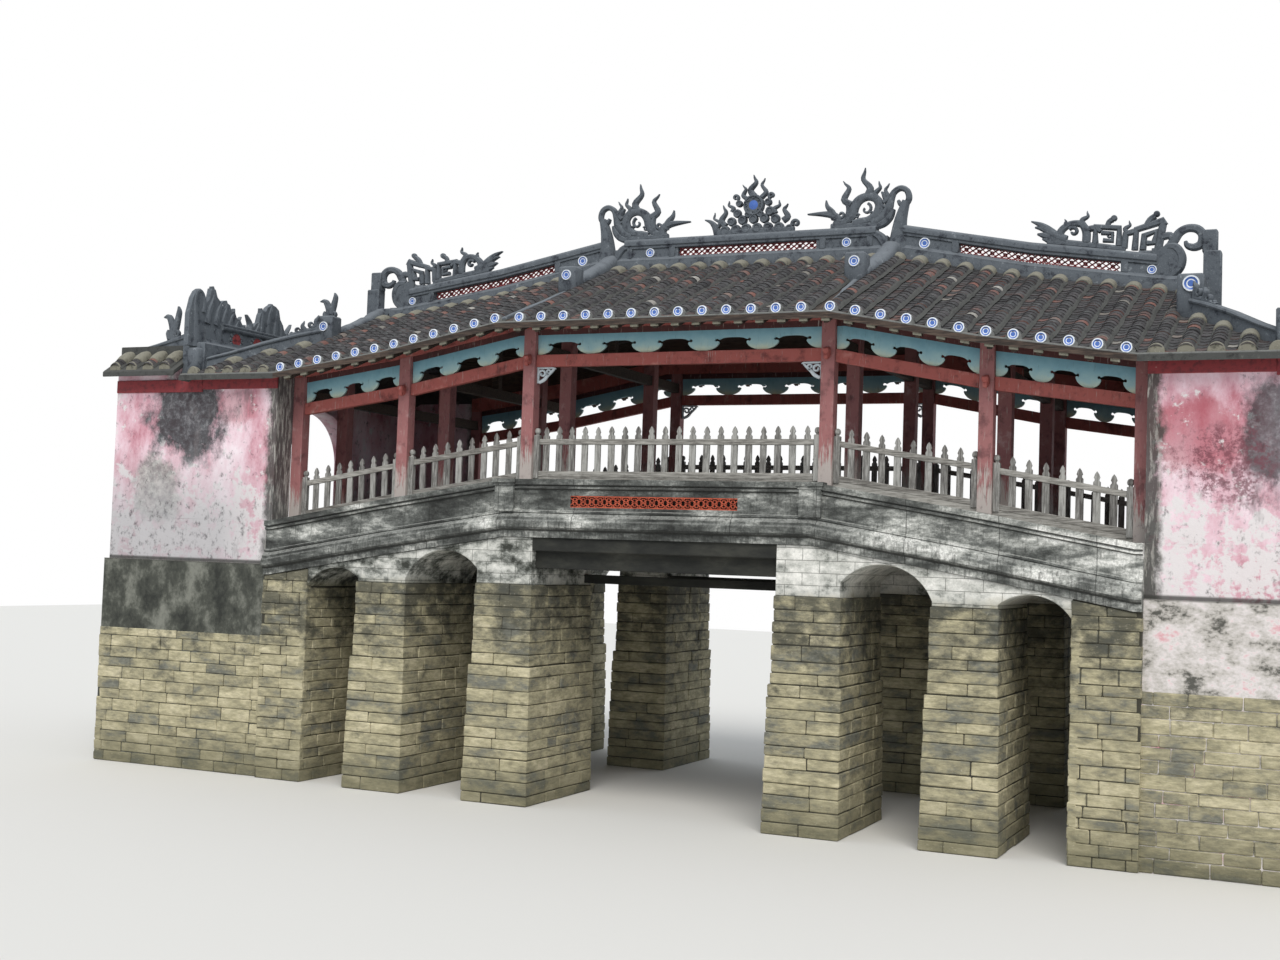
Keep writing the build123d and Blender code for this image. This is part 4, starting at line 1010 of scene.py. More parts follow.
def layUnderHip(sx, side):
    # Short rows below the hip, each with its lump against the band
    shape = Shape()
    foot = underHip["rowFoot"]
    for x in hipRows:
        yTop = hipY(x) + underHip["clear"]
        if foot - yTop > underHip["shortest"]:
            layRoll(shape, slopePoint(sx * x, side * foot), slopePoint(sx * x, side * yTop), acrossX)
        between = x - tiles["sidePitch"] / 2
        yPan = max(hipY(between) + underHip["clear"], underHip["panTop"])
        if yPan < underHip["panLast"]:
            lowest = slopePoint(sx * between, side * underHip["panFoot"])
            layChannel(shape, lowest, slopePoint(sx * between, side * yPan), acrossX)
    return shape


def layHipEnd(sx):
    # Rows on the slope between the two hips, from the gate ridge up to the gable
    shape = Shape()
    acrossY = Vector((0, 1, 0))
    high, low = roofTopAt(hip["topX"], hip["topY"]), roofTopAt(hip["footX"], hip["footY"])

    def endPoint(x, y):
        return Vector((sx * x, y, high + (low - high) * (x - hip["topX"]) / (hip["footX"] - hip["topX"])))

    for i in range(-14, 15):
        y = tiles["pitch"] * i / 2
        top = hipEnd["top"] + max(abs(y) - hipEnd["flatHalf"], 0.0) / hipRun
        if hipEnd["rowFoot"] - top < hipEnd["shortest"]:
            continue
        if i % 2:
            layChannel(shape, endPoint(hipEnd["panFoot"], y), endPoint(top, y), acrossY)
        else:
            layRoll(shape, endPoint(hipEnd["rowFoot"], y), endPoint(top, y), acrossY)
    return shape


def layEave(side):
    shape = Shape()
    outward = Vector((0, side, 0))
    dishRows = middleRows + sideRows[:-1] + [-x for x in sideRows[:-1]]
    plainRows = [s * x for x in sideRows[-1:] + hipRows for s in (1, -1)]
    for x in dishRows + plainRows:
        foot = Vector((x, side * eave["foot"], roofTopAt(x, eave["foot"]) - eave["sunk"]))
        plain = x in plainRows
        layEaveEnd(shape, foot, outward, 3 if plain else 0)
        if not plain:
            spot = foot + outward * eave["dishOut"] + Vector((0, 0, eave["dishUp"]))
            layDish(shape, spot, outward, eave["dish"], (1, 2))
    # mortar bed under the row ends: two thin strips with a groove between them
    bed = [
        (3.7, 0.02), (3.79, 0.036), (3.838, 0.024), (3.849, 0.01), (3.849, -0.016), (3.836, -0.022),
        (3.7, -0.022),
    ]
    profile = [(side * y, z) for y, z in bed]
    addMoulding(shape, profile, -eave["bedEnd"], eave["bedEnd"], lambda x: roofTopAt(x, bridge["eaveHalf"]))
    return shape


def layRafters(side):
    shape = Shape()
    count = int(eave["rafterReach"] / eave["rafterPitch"])
    thick = bridge["roofThickness"]
    for i in range(-count, count + 1):
        x = i * eave["rafterPitch"]
        corners = [
            Vector((px, side * y, roofTopAt(px, y) - thick - drop))
            for px in (x - eave["rafterHalf"], x + eave["rafterHalf"]) for y in eave["rafterY"]
            for drop in (eave["rafterDeep"], 0.001)
        ]
        addBlock(shape, corners, 0.004, 0)
        # pale block on each rafter end
        corners = [
            Vector((px, side * y, roofTopAt(px, eave["endLevel"]) - thick - drop))
            for px in (x - eave["endHalf"], x + eave["endHalf"]) for y in eave["endY"]
            for drop in (eave["endDrop"] + eave["endHigh"], 0.002)
        ]
        addBlock(shape, corners, 0.004, 1)
    return shape


tileFinishes = [clayTile, tileMortar, lumpMortar, filletMortar]
for side, sideName in ((-1, "front"), (1, "rear")):
    for label, rows in (("center", middleRows), ("right", sideRows), ("left", [-x for x in sideRows])):
        makePiece(
            f"roof_tiles_{label}_{sideName}", laySlope(rows, side), tileFinishes, smoothAngle=50
        )
    for sx, endName in ((1, "right"), (-1, "left")):
        makePiece(
            f"hip_tiles_{endName}_{sideName}", layUnderHip(sx, side), tileFinishes,
            smoothAngle=50
        )
    makePiece(f"eave_ends_{sideName}", layEave(side), [tileMortar, porcelainWhite, porcelainBlue, lumpMortar],
              smoothAngle=45)
    makePiece(
        f"rafter_tails_{sideName}", layRafters(side), [darkWoodAndShade, lumpMortar], smoothAngle=0
    )
for sx, endName in ((1, "right"), (-1, "left")):
    makePiece(f"hip_end_tiles_{endName}", layHipEnd(sx), tileFinishes, smoothAngle=50)
print("roof tiled")

# Ridges

ridgeLook = {
    "depth": 0.12, "latticeBar": 0.011, "latticeDepth": 0.05, "cell": 0.105, "swell": 1.34,
    "latticeLow": 9.19, "latticeHigh": 9.345, "latticeEnd": 1.27, "postDeep": 0.1,
    "postLevels": (9.18, 9.36), "dishOut": 0.09,
}
capHalf = [
    (0.08, 9.34), (0.1, 9.352), (0.1, 9.385), (0.12, 9.405), (0.12, 9.468), (0.104, 9.5), (0.06, 9.526),
]
baseHalf = [(0.15, 8.9), (0.15, 9.07), (0.14, 9.1), (0.14, 9.135), (0.105, 9.16), (0.086, 9.192)]
wallHalf = [(0.078, 9.18), (0.078, 9.35)]
bossRings = ((1.0, 0.5), (0.86, 1.0), (0.6, 1.0), (0.48, 0.72), (0.0, 0.85))
ridgeFinishes = [ridgeMortar, porcelainWhite, porcelainBlue, latticeRed]


def fullProfile(half):
    return [(-y, z) for y, z in half] + [(y, z) for y, z in reversed(half)]


def addLines(shape, lines, depth, put, swell=1.0):
    # Strips that cross, wider by swell; their depths differ a hair, so no two faces share a plane
    for i, line in enumerate(lines):
        wider = [(a, b, wide * swell) for a, b, wide in line]
        addRibbon(shape, wider, depth * (1 - 0.015 * (i % 7)), put)


def hexagon(a, b, halfA, halfB, wide):
    turns = [math.pi * k / 3 for k in range(7)]
    return [(a + halfA * math.cos(turn), b + halfB * math.sin(turn), wide) for turn in turns]


def addLattice(shape, start, end, put):
    # Crossing clay bars, close set, with a small ring at each second crossing
    low, high = ridgeLook["latticeLow"], ridgeLook["latticeHigh"]
    redClay = 3
    count = max(1, round((end - start) / ridgeLook["cell"]))
    step = (end - start) / count
    bar = ridgeLook["latticeBar"]
    depth = ridgeLook["latticeDepth"]
    middle = (low + high) / 2
    for i in range(count):
        a, b = start + step * i, start + step * (i + 1)
        for za, zb in ((low, middle), (middle, low), (middle, high), (high, middle)):
            addRibbon(shape, [(a, za, bar), (b, zb, bar)], depth, put, 4, redClay)
        if i % 2:
            addRibbon(shape, hexagon(a, middle, 0.026, 0.03, bar), depth, put, 4, redClay)
    for level in (low + 0.006, high - 0.006):
        addRibbon(shape, [(start, level, 0.008), (end, level, 0.008)], depth, put, 4, redClay)


def addPost(shape, x, half):
    deep = ridgeLook["postDeep"]
    ends = (x - half, x + half)
    addBlock(shape, cornersOn(ends, (-deep, deep), eaveFallAt, ridgeLook["postLevels"]), 0.01)


def ridgeDish(shape, x, z, radius):
    for side in (-1, 1):
        centre = Vector((x, side * ridgeLook["dishOut"], z + eaveFallAt(x)))
        layDish(shape, centre, Vector((0, side, 0)), radius, (1, 2))


def centreDragon(shape, s):
    # Tail leaf, body rolled round an eye, flames and the hooked end over the pillar; s is the side
    def put(a, b, d):
        return Vector((s * a, d, b))

    deep = ridgeLook["depth"]
    lines = [
        smoothPath([
            (1.58, 9.53, 0.07), (1.62, 9.66, 0.06), (1.52, 9.76, 0.05), (1.34, 9.79, 0.032),
            (1.08, 9.80, 0.01),
        ], 5),
        smoothPath([(1.56, 9.70, 0.05), (1.50, 9.82, 0.042), (1.42, 9.92, 0.026), (1.4, 10.02, 0.007)], 4),
        curl((1.67, 9.76), 0.07, -150, 0.9, 0.022),
        smoothPath([
            (1.56, 9.62, 0.045), (1.72, 9.62, 0.05), (1.86, 9.74, 0.06), (1.9, 9.88, 0.062),
            (1.98, 9.99, 0.058), (2.12, 10.04, 0.052), (2.26, 10.0, 0.055), (2.33, 9.88, 0.058),
            (2.28, 9.72, 0.06), (2.14, 9.64, 0.05), (2.0, 9.62, 0.05), (1.88, 9.6, 0.04),
        ], 5),
        curl((2.1, 9.83), 0.1, 70, -0.8, 0.02),
        flame((1.84, 9.92), (1.69, 10.33), 0.046, 0.2),
        flame((2.1, 10.02), (2.07, 10.53), 0.05, -0.14),
        flame((2.29, 9.99), (2.31, 10.29), 0.036, 0.16),
        flame((2.4, 9.92), (2.49, 10.24), 0.034, -0.16),
        smoothPath([
            (2.2, 9.6, 0.05), (2.36, 9.66, 0.055), (2.48, 9.8, 0.055), (2.52, 9.95, 0.046),
            (2.57, 10.08, 0.038), (2.68, 10.145, 0.036), (2.79, 10.1, 0.038), (2.83, 9.98, 0.038),
            (2.79, 9.89, 0.036), (2.7, 9.87, 0.034), (2.65, 9.94, 0.02),
        ], 5),
        curl((2.4, 9.8), 0.085, 200, -0.95, 0.026),
        smoothPath([(2.28, 9.52, 0.04), (2.42, 9.58, 0.05), (2.52, 9.68, 0.045), (2.58, 9.8, 0.02)], 4),
        smoothPath([(1.5, 9.56, 0.04), (1.8, 9.56, 0.04), (2.3, 9.55, 0.04)], 4),
        # scales and curls on the body
        curl((1.95, 9.72), 0.04, 30, 1.0, 0.015),
        curl((2.2, 9.74), 0.04, 150, -1.0, 0.015),
        smoothPath([(1.74, 9.6, 0.04), (1.8, 9.78, 0.036), (1.78, 9.9, 0.024), (1.72, 9.96, 0.01)], 4),
        smoothPath([(2.44, 9.98, 0.04), (2.4, 10.06, 0.03), (2.36, 10.1, 0.012)], 3),
    ]
    addLines(shape, lines, deep, put, ridgeLook["swell"])
    # pillar under the hook, flaring like a tree foot into the roof
    addRibbon(shape, smoothPath([(2.7, 8.93, 0.26), (2.68, 9.05, 0.2), (2.67, 9.3, 0.14), (2.7, 9.62, 0.095),
                                 (2.78, 9.92, 0.06)], 5), 0.3, put, 10)
    # the wall swells out under the hook like a rolled leaf
    addRibbon(shape, smoothPath(
        [(2.16, 9.44, 0.05), (2.36, 9.34, 0.085), (2.47, 9.14, 0.08), (2.42, 8.98, 0.04)], 5,
    ), 0.24, put)
    addRibbon(shape, curl((2.4, 9.26), 0.09, 120, -0.9, 0.03), 0.27, put)


def sunCrest(shape):
    # Sun disc with flames over a pyramid of rolled clouds
    def put(a, b, d):
        return Vector((a, d, b))

    deep = ridgeLook["depth"]
    x, z = 0.1, 10.02
    sunRings = ((1.0, 0.5), (0.93, 1.0), (0.8, 1.0), (0.76, 0.6), (0.0, 0.55))
    addDisc(shape, (x, z), 0.19, deep * 1.1, put, sunRings, 20)
    addDisc(shape, (x, z), 0.1, deep * 0.95, put, ((1.0, 0.6), (0.0, 1.0)), 14, 2)
    for k in range(8):
        turn = math.pi * k / 4
        bead = (x + 0.135 * math.cos(turn), z + 0.135 * math.sin(turn))
        addDisc(shape, bead, 0.032, deep, put, bossRings, 8)
    for cx, cz, r in (
        (-0.42, 9.6, 0.09), (-0.22, 9.61, 0.09), (-0.03, 9.62, 0.09), (0.17, 9.62, 0.09),
        (0.37, 9.62, 0.09), (0.57, 9.61, 0.09), (0.76, 9.58, 0.07), (-0.3, 9.75, 0.08),
        (-0.1, 9.77, 0.085), (0.1, 9.78, 0.085), (0.3, 9.78, 0.085), (0.5, 9.76, 0.085),
        (-0.2, 9.89, 0.075), (0.4, 9.9, 0.085), (0.0, 9.86, 0.06), (0.22, 9.86, 0.06),
        (0.36, 10.06, 0.065), (-0.17, 10.06, 0.06),
    ):
        addDisc(shape, (cx, cz), r, deep * random.uniform(0.9, 1.05), put, bossRings, 12)
    addLines(shape, (
        flame((0.1, 10.18), (0.08, 10.55), 0.05, 0.18), flame((-0.03, 10.14), (-0.12, 10.39), 0.036, 0.18),
        flame((0.24, 10.15), (0.29, 10.48), 0.038, -0.18), flame((-0.42, 9.68), (-0.47, 10.05), 0.05, 0.16),
        flame((0.64, 9.72), (0.72, 10.01), 0.05, -0.2), curl((-0.24, 10.17), 0.055, -60, 1.0, 0.026),
        curl((0.42, 10.17), 0.055, -120, -1.0, 0.026), curl((0.87, 9.66), 0.07, -150, -1.0, 0.03),
        smoothPath([(-0.56, 9.54, 0.06), (-0.6, 9.66, 0.052), (-0.68, 9.76, 0.034), (-0.8, 9.81, 0.01)], 4),
        smoothPath([(-0.6, 9.56, 0.05), (0.1, 9.56, 0.055), (0.84, 9.56, 0.05)], 4),
        flame((-0.56, 9.66), (-0.62, 9.93), 0.03, -0.2), flame((0.5, 9.86), (0.56, 10.08), 0.036, 0.2),
        flame((-0.3, 9.92), (-0.36, 10.12), 0.034, -0.2),
    ), deep, put, 1.15)


def sideDragon(shape, s):
    # Wing, arched body, frets and the scroll over to the end pier
    def put(a, b, d):
        return Vector((s * a, d, b))

    deep = ridgeLook["depth"]
    w = 0.04
    lines = [
        smoothPath([
            (5.4, 9.14, 0.05), (5.24, 9.2, 0.06), (5.08, 9.32, 0.056), (4.98, 9.4, 0.032),
            (4.84, 9.46, 0.008),
        ], 4),
        smoothPath([(5.2, 9.18, 0.05), (5.06, 9.22, 0.04), (4.94, 9.25, 0.012)], 4),
        smoothPath([(5.26, 9.16, 0.05), (5.14, 9.26, 0.04), (5.0, 9.34, 0.03), (4.9, 9.36, 0.01)], 4),
        smoothPath([(5.3, 9.12, 0.05), (5.16, 9.13, 0.045), (5.02, 9.17, 0.012)], 4),
        smoothPath([
            (5.28, 9.14, 0.05), (5.31, 9.28, 0.045), (5.42, 9.37, 0.04), (5.54, 9.39, 0.04),
            (5.64, 9.36, 0.045), (5.7, 9.24, 0.05), (5.7, 9.08, 0.05),
        ], 5),
        curl((5.5, 9.26), 0.08, 150, -0.9, 0.026),
        flame((5.66, 9.36), (5.71, 9.58), 0.034, 0.2), flame((5.4, 9.36), (5.36, 9.47), 0.026, 0.1),
        smoothPath([(5.7, 9.28, 0.04), (5.84, 9.3, 0.035), (5.92, 9.24, 0.03)], 4),
        [(5.84, 9.04, w), (5.84, 9.32, w), (6.2, 9.28, w), (6.2, 9.0, w)],
        [(5.93, 9.22, w * 0.7), (6.1, 9.2, w * 0.7), (6.1, 9.08, w * 0.7), (5.96, 9.1, w * 0.7)],
        curl((6.06, 9.16), 0.05, 0, 0.9, 0.016),
        smoothPath([(6.02, 9.28, 0.035), (6.04, 9.38, 0.03), (6.1, 9.42, 0.034)], 3),
        flame((6.32, 9.2), (6.35, 9.39), 0.03, 0.2),
        [(6.28, 8.96, w), (6.3, 9.18, w), (6.46, 9.22, w)],
        [(6.44, 8.92, w), (6.46, 9.24, w), (6.87, 9.36, w * 1.1), (6.88, 9.3, w)],
        [(6.56, 8.92, w), (6.58, 9.14, w), (6.76, 9.2, w), (6.73, 9.02, w), (6.62, 9.02, w * 0.8)],
        [(6.86, 9.34, w * 1.1), (6.78, 8.86, w * 1.2)],
        smoothPath([(6.6, 9.26, 0.04), (6.66, 9.38, 0.036), (6.74, 9.44, 0.034)], 3),
        smoothPath([(6.84, 9.1, 0.04), (6.96, 9.12, 0.045), (7.02, 9.02, 0.05)], 4),
        smoothPath([(5.1, 9.12, 0.04), (5.4, 9.08, 0.045), (5.8, 9.02, 0.04), (6.3, 8.94, 0.035)], 4),
        # the cap sweeps up into the loop, which closes against the pier
        smoothPath([
            (6.5, 8.85, 0.05), (6.75, 8.84, 0.05), (6.93, 8.92, 0.052), (7.02, 9.04, 0.054),
            (7.1, 9.16, 0.05), (7.22, 9.22, 0.046), (7.36, 9.2, 0.05), (7.44, 9.1, 0.055),
            (7.42, 8.97, 0.052), (7.32, 8.92, 0.044), (7.22, 8.95, 0.036), (7.19, 9.02, 0.02),
        ], 5),
    ]
    addLines(shape, lines, deep, put, ridgeLook["swell"])
    # the rolled end of the wall, like the edge of a great leaf
    addRibbon(shape, smoothPath([
        (6.9, 8.94, 0.05), (7.04, 8.93, 0.07), (7.13, 8.8, 0.075), (7.12, 8.64, 0.07), (7.03, 8.52, 0.06),
        (6.9, 8.46, 0.04),
    ], 5), 0.2, put)
    addRibbon(shape, smoothPath(
        [(6.86, 8.86, 0.05), (6.98, 8.78, 0.06), (6.98, 8.62, 0.06), (6.88, 8.52, 0.05)], 5,
    ), 0.18, put)
    bulge = [
        (6.7, 8.92), (6.95, 8.95), (7.06, 8.87), (7.1, 8.74), (7.08, 8.6), (7.0, 8.5), (6.88, 8.43),
        (6.7, 8.43),
    ]
    addPlate(shape, bulge, put, 0.082)
    for cx, cz in ((6.12, 9.44), (6.76, 9.47)):
        addDisc(shape, (cx, cz), 0.05, deep * 0.95, put, ((1.0, 0.4), (0.7, 1.0), (0.0, 1.0)), 10)
    # end pier, stepped at its top
    for near, far, half, low, high in ((7.46, 7.72, 0.12, 7.7, 8.84), (7.44, 7.66, 0.1, 8.82, 9.17),
                                       (7.16, 7.5, 0.15, 8.0, 8.46)):
        addBlock(shape, boxCorners((s * near, -half, low), (s * far, half, high)), 0.018)


def buildRidges():
    def middle(a, b, d):
        return Vector((a, d, b))

    shape = Shape()
    latticeEnd = ridgeLook["latticeEnd"]
    addMoulding(shape, fullProfile(baseHalf), -2.72, 2.72, eaveFallAt)
    addMoulding(shape, fullProfile(capHalf), -2.3, 2.3, eaveFallAt)
    for s in (-1, 1):
        start, end = sorted((s * latticeEnd, s * 2.5))
        addMoulding(shape, fullProfile(wallHalf), start, end, eaveFallAt)
        addPost(shape, s * 1.38, 0.055)
        addPost(shape, s * 2.2, 0.05)
        centreDragon(shape, s)
        ridgeDish(shape, s * 1.8, 9.27, 0.078)
    addLattice(shape, -latticeEnd, latticeEnd, middle)
    sunCrest(shape)
    makePiece("ridge_middle", shape, ridgeFinishes, ("ridge_center",), 40)
    for s, endName in ((1, "right"), (-1, "left")):
        def onSide(a, b, d):
            return Vector((s * a, d, b + eaveFallAt(a)))

        shape = Shape()
        runs = ((baseHalf, 2.7, 7.2), (capHalf, 2.7, 6.78), (wallHalf, 2.7, 3.64), (wallHalf, 6.26, 7.0))
        for profile, xa, xb in runs:
            a, b = sorted((s * xa, s * xb))
            addMoulding(shape, fullProfile(profile), a, b, eaveFallAt)
        addLattice(shape, 3.7, 6.22, onSide)
        addPost(shape, s * 3.64, 0.055)
        addPost(shape, s * 6.3, 0.055)
        ridgeDish(shape, s * 3.13, 9.265, 0.09)
        ridgeDish(shape, s * 6.71, 9.265, 0.072)
        sideDragon(shape, s)
        makePiece(f"ridge_side_{endName}", shape, ridgeFinishes, (f"ridge_{endName}",), 40)


buildRidges()
print("ridges built")

# Bands over the roof's turns and down the hips

bandLook = {"blockHalf": 0.165, "blockY": 1.75, "hipHalf": 0.085, "hipHeights": (0.27, 0.29, 0.27, 0.22, 0.2)}
# the last block stands higher on the right bank
endBlocks = {
    1: {"high": 0.58, "shift": 0.06, "half": 0.185, "dishShift": 0.07, "dishDown": 0.15, "dish": 0.115},
    -1: {"high": 0.46, "shift": 0.0, "half": 0.165, "dishShift": 0.0, "dishDown": 0.2, "dish": 0.085},
}


def addSweep(shape, stations, section):
    # Joins copies of a section; each station is (place, sideways direction, width share, height share)
    points = [
        place + aside * (a * wide) + Vector((0, 0, b * tall))
        for place, aside, wide, tall in stations for a, b in section
    ]
    shape.add(points, tubeFaces(len(stations), len(section)))


softSection = [
    (-1, -0.25), (-1, 0.55), (-0.86, 0.82), (-0.5, 0.97), (0, 1.0), (0.5, 0.97), (0.86, 0.82), (1, 0.55),
    (1, -0.25),
]
hipSection = [
    (-1, -0.3), (-0.72, 0.3), (-0.55, 0.68), (-0.55, 0.72), (-0.82, 0.76), (-0.9, 0.86), (-0.7, 0.96),
    (0, 1.0), (0.7, 0.96), (0.9, 0.86), (0.82, 0.76), (0.55, 0.72), (0.55, 0.68), (0.72, 0.3), (1, -0.3),
]


def slopeBand(shape, x, side, inner, outer):
    # A soft band of mortar down the slope; inner and outer are (from the middle, half width, height)
    stations = []
    for i in range(15):
        t = i / 14
        y, wide, tall = (inner[k] + (outer[k] - inner[k]) * t for k in range(3))
        sag = -0.05 * math.sin(math.pi * t) + random.uniform(-0.018, 0.018)
        stations.append((slopePoint(x, side * y), acrossX, wide + random.uniform(-0.016, 0.016), tall + sag))
    addSweep(shape, stations, softSection)


def bandBlock(shape, x, side, halfX, low, high):
    at = bandLook["blockY"]
    y0, y1 = sorted((side * (at - bandLook["blockHalf"]), side * (at + bandLook["blockHalf"])))
    addBlock(shape, boxCorners((x - halfX, y0, low), (x + halfX, y1, high)), 0.03)


def hornLeaves(shape, put):
    # Two leaves that part like a fish tail, on a curled foot
    addLines(shape, (
        smoothPath([
            (0.0, -0.02, 0.09), (0.0, 0.1, 0.07), (-0.03, 0.2, 0.06), (-0.1, 0.3, 0.045),
            (-0.2, 0.3, 0.012),
        ], 5),
        smoothPath([
            (0.03, 0.06, 0.07), (0.07, 0.18, 0.06), (0.1, 0.28, 0.05), (0.12, 0.38, 0.035),
            (0.1, 0.45, 0.008),
        ], 5),
        curl((0.1, 0.05), 0.06, 180, -1.0, 0.026),
        smoothPath([(-0.06, -0.02, 0.05), (-0.1, 0.06, 0.04), (-0.1, 0.12, 0.012)], 4),
    ), 0.12, put)


def hipLine(sx, side):
    start = Vector((sx * hip["topX"], side * hip["topY"], 0))
    end = Vector((sx * hip["footX"], side * hip["footY"], 0))
    return start, end, (end - start).normalized()


def hipBand(shape, sx, side):
    start, end, way = hipLine(sx, side)
    aside = Vector((way.y, -way.x, 0))
    stations = []
    steps = 12
    heights = bandLook["hipHeights"]
    for i in range(steps + 1):
        t = i / steps
        at = start.lerp(end, t)
        k = min(int(t * 4), 3)
        tall = heights[k] + (heights[k + 1] - heights[k]) * (t * 4 - k)
        stations.append((Vector((at.x, at.y, roofTopAt(at.x, at.y))), aside, bandLook["hipHalf"], tall))
    addSweep(shape, stations, hipSection)
    # corner block at the foot
    corner = Vector((sx * 8.8, side * 3.62, 0))
    addBlock(shape, [corner + Vector(p) for p in boxCorners((-0.12, -0.12, 6.8), (0.12, 0.12, 7.26))], 0.03)


def hipLeaves(shape, sx, side):
    start, end, way = hipLine(sx, side)

    def put(a, b, d):
        at = start + way * a
        return at + Vector((-way.y * d, way.x * d, b))

    addLines(shape, (
        flame((0.25, 7.74), (0.2, 8.06), 0.075, 0.12), curl((0.33, 7.88), 0.065, 160, 1.0, 0.034),
        flame((0.48, 7.66), (0.46, 7.93), 0.062, 0.14), curl((0.57, 7.76), 0.06, 160, 1.0, 0.032),
        smoothPath([(0.1, 7.84, 0.04), (0.4, 7.76, 0.045), (0.75, 7.63, 0.035)], 4),
        curl((0.68, 7.68), 0.045, 160, 1.0, 0.022),
    ), 0.09, put)


def buildBands():
    verge = Shape()
    for sx in (-1, 1):
        for side in (-1, 1):
            x = sx * bridge["columnLines"][0]
            top = roofTopAt(x, bandLook["blockY"])
            slopeBand(verge, sx * 2.58, side, (0.1, 0.17, 0.3), (bandLook["blockY"], 0.12, 0.2))
            bandBlock(verge, x, side, bandLook["blockHalf"], top - 0.1, top + 0.42)
            at = Vector((x, side * (bandLook["blockY"] + bandLook["blockHalf"] + 0.012), top + 0.27))
            layDish(verge, at, Vector((0, side, 0)), 0.085, (1, 2))
            # thin fillet of mortar along the crease, from the block to the eave
            stations = []
            for i in range(9):
                y = 1.9 + (3.79 - 1.9) * i / 8
                place = slopePoint(sx * (bridge["roofTurn"] - 0.2 + 0.02 * i), side * y)
                wide = 0.045 + random.uniform(-0.008, 0.008)
                stations.append((place, acrossX, wide, 0.06 + random.uniform(-0.01, 0.01)))
            addSweep(verge, stations, softSection)
    makePiece("verge_mortar", verge, ridgeFinishes, ("verge_bands",), 45)
    for sx, endName in ((1, "right"), (-1, "left")):
        shape = Shape()
        block = endBlocks[sx]
        for side in (-1, 1):
            x = sx * hip["topX"]
            top = roofTopAt(x, bandLook["blockY"])
            slopeBand(shape, x, side, (0.1, 0.12, 0.24), (bandLook["blockY"], 0.12, 0.22))
            high = top + block["high"]
            bandBlock(shape, x + sx * block["shift"], side, block["half"], top - 0.12, high)
            dishY = side * (bandLook["blockY"] + bandLook["blockHalf"] + 0.013)
            dishAt = Vector((x + sx * block["dishShift"], dishY, high - block["dishDown"]))
            layDish(shape, dishAt, Vector((0, side, 0)), block["dish"], (1, 2))
            hipBand(shape, sx, side)
            hipLeaves(shape, sx, side)

            def onBlock(a, b, d):
                return Vector((x - sx * a, side * bandLook["blockY"] + d, top + 0.44 + b))

            if sx < 0:
                hornLeaves(shape, onBlock)
        makePiece(
            f"hip_bands_{endName}", shape, ridgeFinishes, (f"gate_bands_{endName}",), 45,
        )


buildBands()

# Gate ridges: a low wall with three lattice medallions at each end, crests and leaves above

gateLook = {
    "x": 8.9, "medallions": (2.56, 1.97, 1.36, 0.68, 0.0), "level": 7.54, "medallion": 0.125, "rim": 0.15,
    "bead": 0.038, "face": 0.08, "bar": 0.12, "headX": (8.66, 9.14), "headEnd": 3.6,
    "headLevels": (6.78, 7.37),
}
gateBase = [(0.18, 7.2), (0.18, 7.36), (0.14, 7.39), (0.12, 7.42), (0.12, 7.46), (0.08, 7.47)]
gateWallHalf = [(0.078, 7.44), (0.078, 7.68)]
gateCap = [
    (0.08, 7.66), (0.11, 7.68), (0.125, 7.7), (0.125, 7.73), (0.1, 7.74), (0.11, 7.76), (0.11, 7.785),
    (0.07, 7.8),
]


def addRun(shape, profile, put, start, end):
    points = [put(at, z, d) for at in (start, end) for d, z in profile]
    shape.add(points, tubeFaces(2, len(profile)))


crestMasses = (
    [
        (3.8, 7.3), (3.8, 7.85), (3.72, 8.14), (3.64, 8.27), (3.54, 8.32), (3.43, 8.25), (3.37, 8.08),
        (3.28, 8.2), (3.24, 8.38), (3.14, 8.37), (3.08, 8.24), (2.99, 8.18), (2.94, 8.08), (2.86, 8.08),
        (2.8, 8.18), (2.73, 8.16), (2.68, 8.04), (2.59, 8.06), (2.52, 7.94), (2.43, 7.94), (2.36, 7.85),
        (2.28, 7.84), (2.2, 7.76), (2.2, 7.5), (3.4, 7.3),
    ],
    [
        (2.08, 7.6), (2.06, 7.84), (1.98, 7.94), (1.9, 7.97), (1.86, 8.12), (1.8, 8.21), (1.71, 8.2),
        (1.65, 8.29), (1.54, 8.36), (1.42, 8.34), (1.32, 8.28), (1.27, 8.12), (1.18, 8.02), (1.12, 7.88),
        (1.0, 7.83), (0.72, 7.78), (0.72, 7.6),
    ],
)

crestCurls = (
    (3.64, 7.62), (3.56, 7.86), (3.46, 7.62), (3.3, 7.92), (3.3, 7.66), (3.12, 7.98), (3.14, 7.76),
    (2.96, 7.92), (2.8, 7.94), (2.63, 7.87), (2.46, 7.84), (1.92, 7.87), (1.78, 8.02), (1.66, 8.16),
    (1.6, 7.9), (1.48, 8.16), (1.36, 8.0), (1.22, 7.9), (1.48, 7.98), (3.68, 8.02), (3.2, 8.14),
)


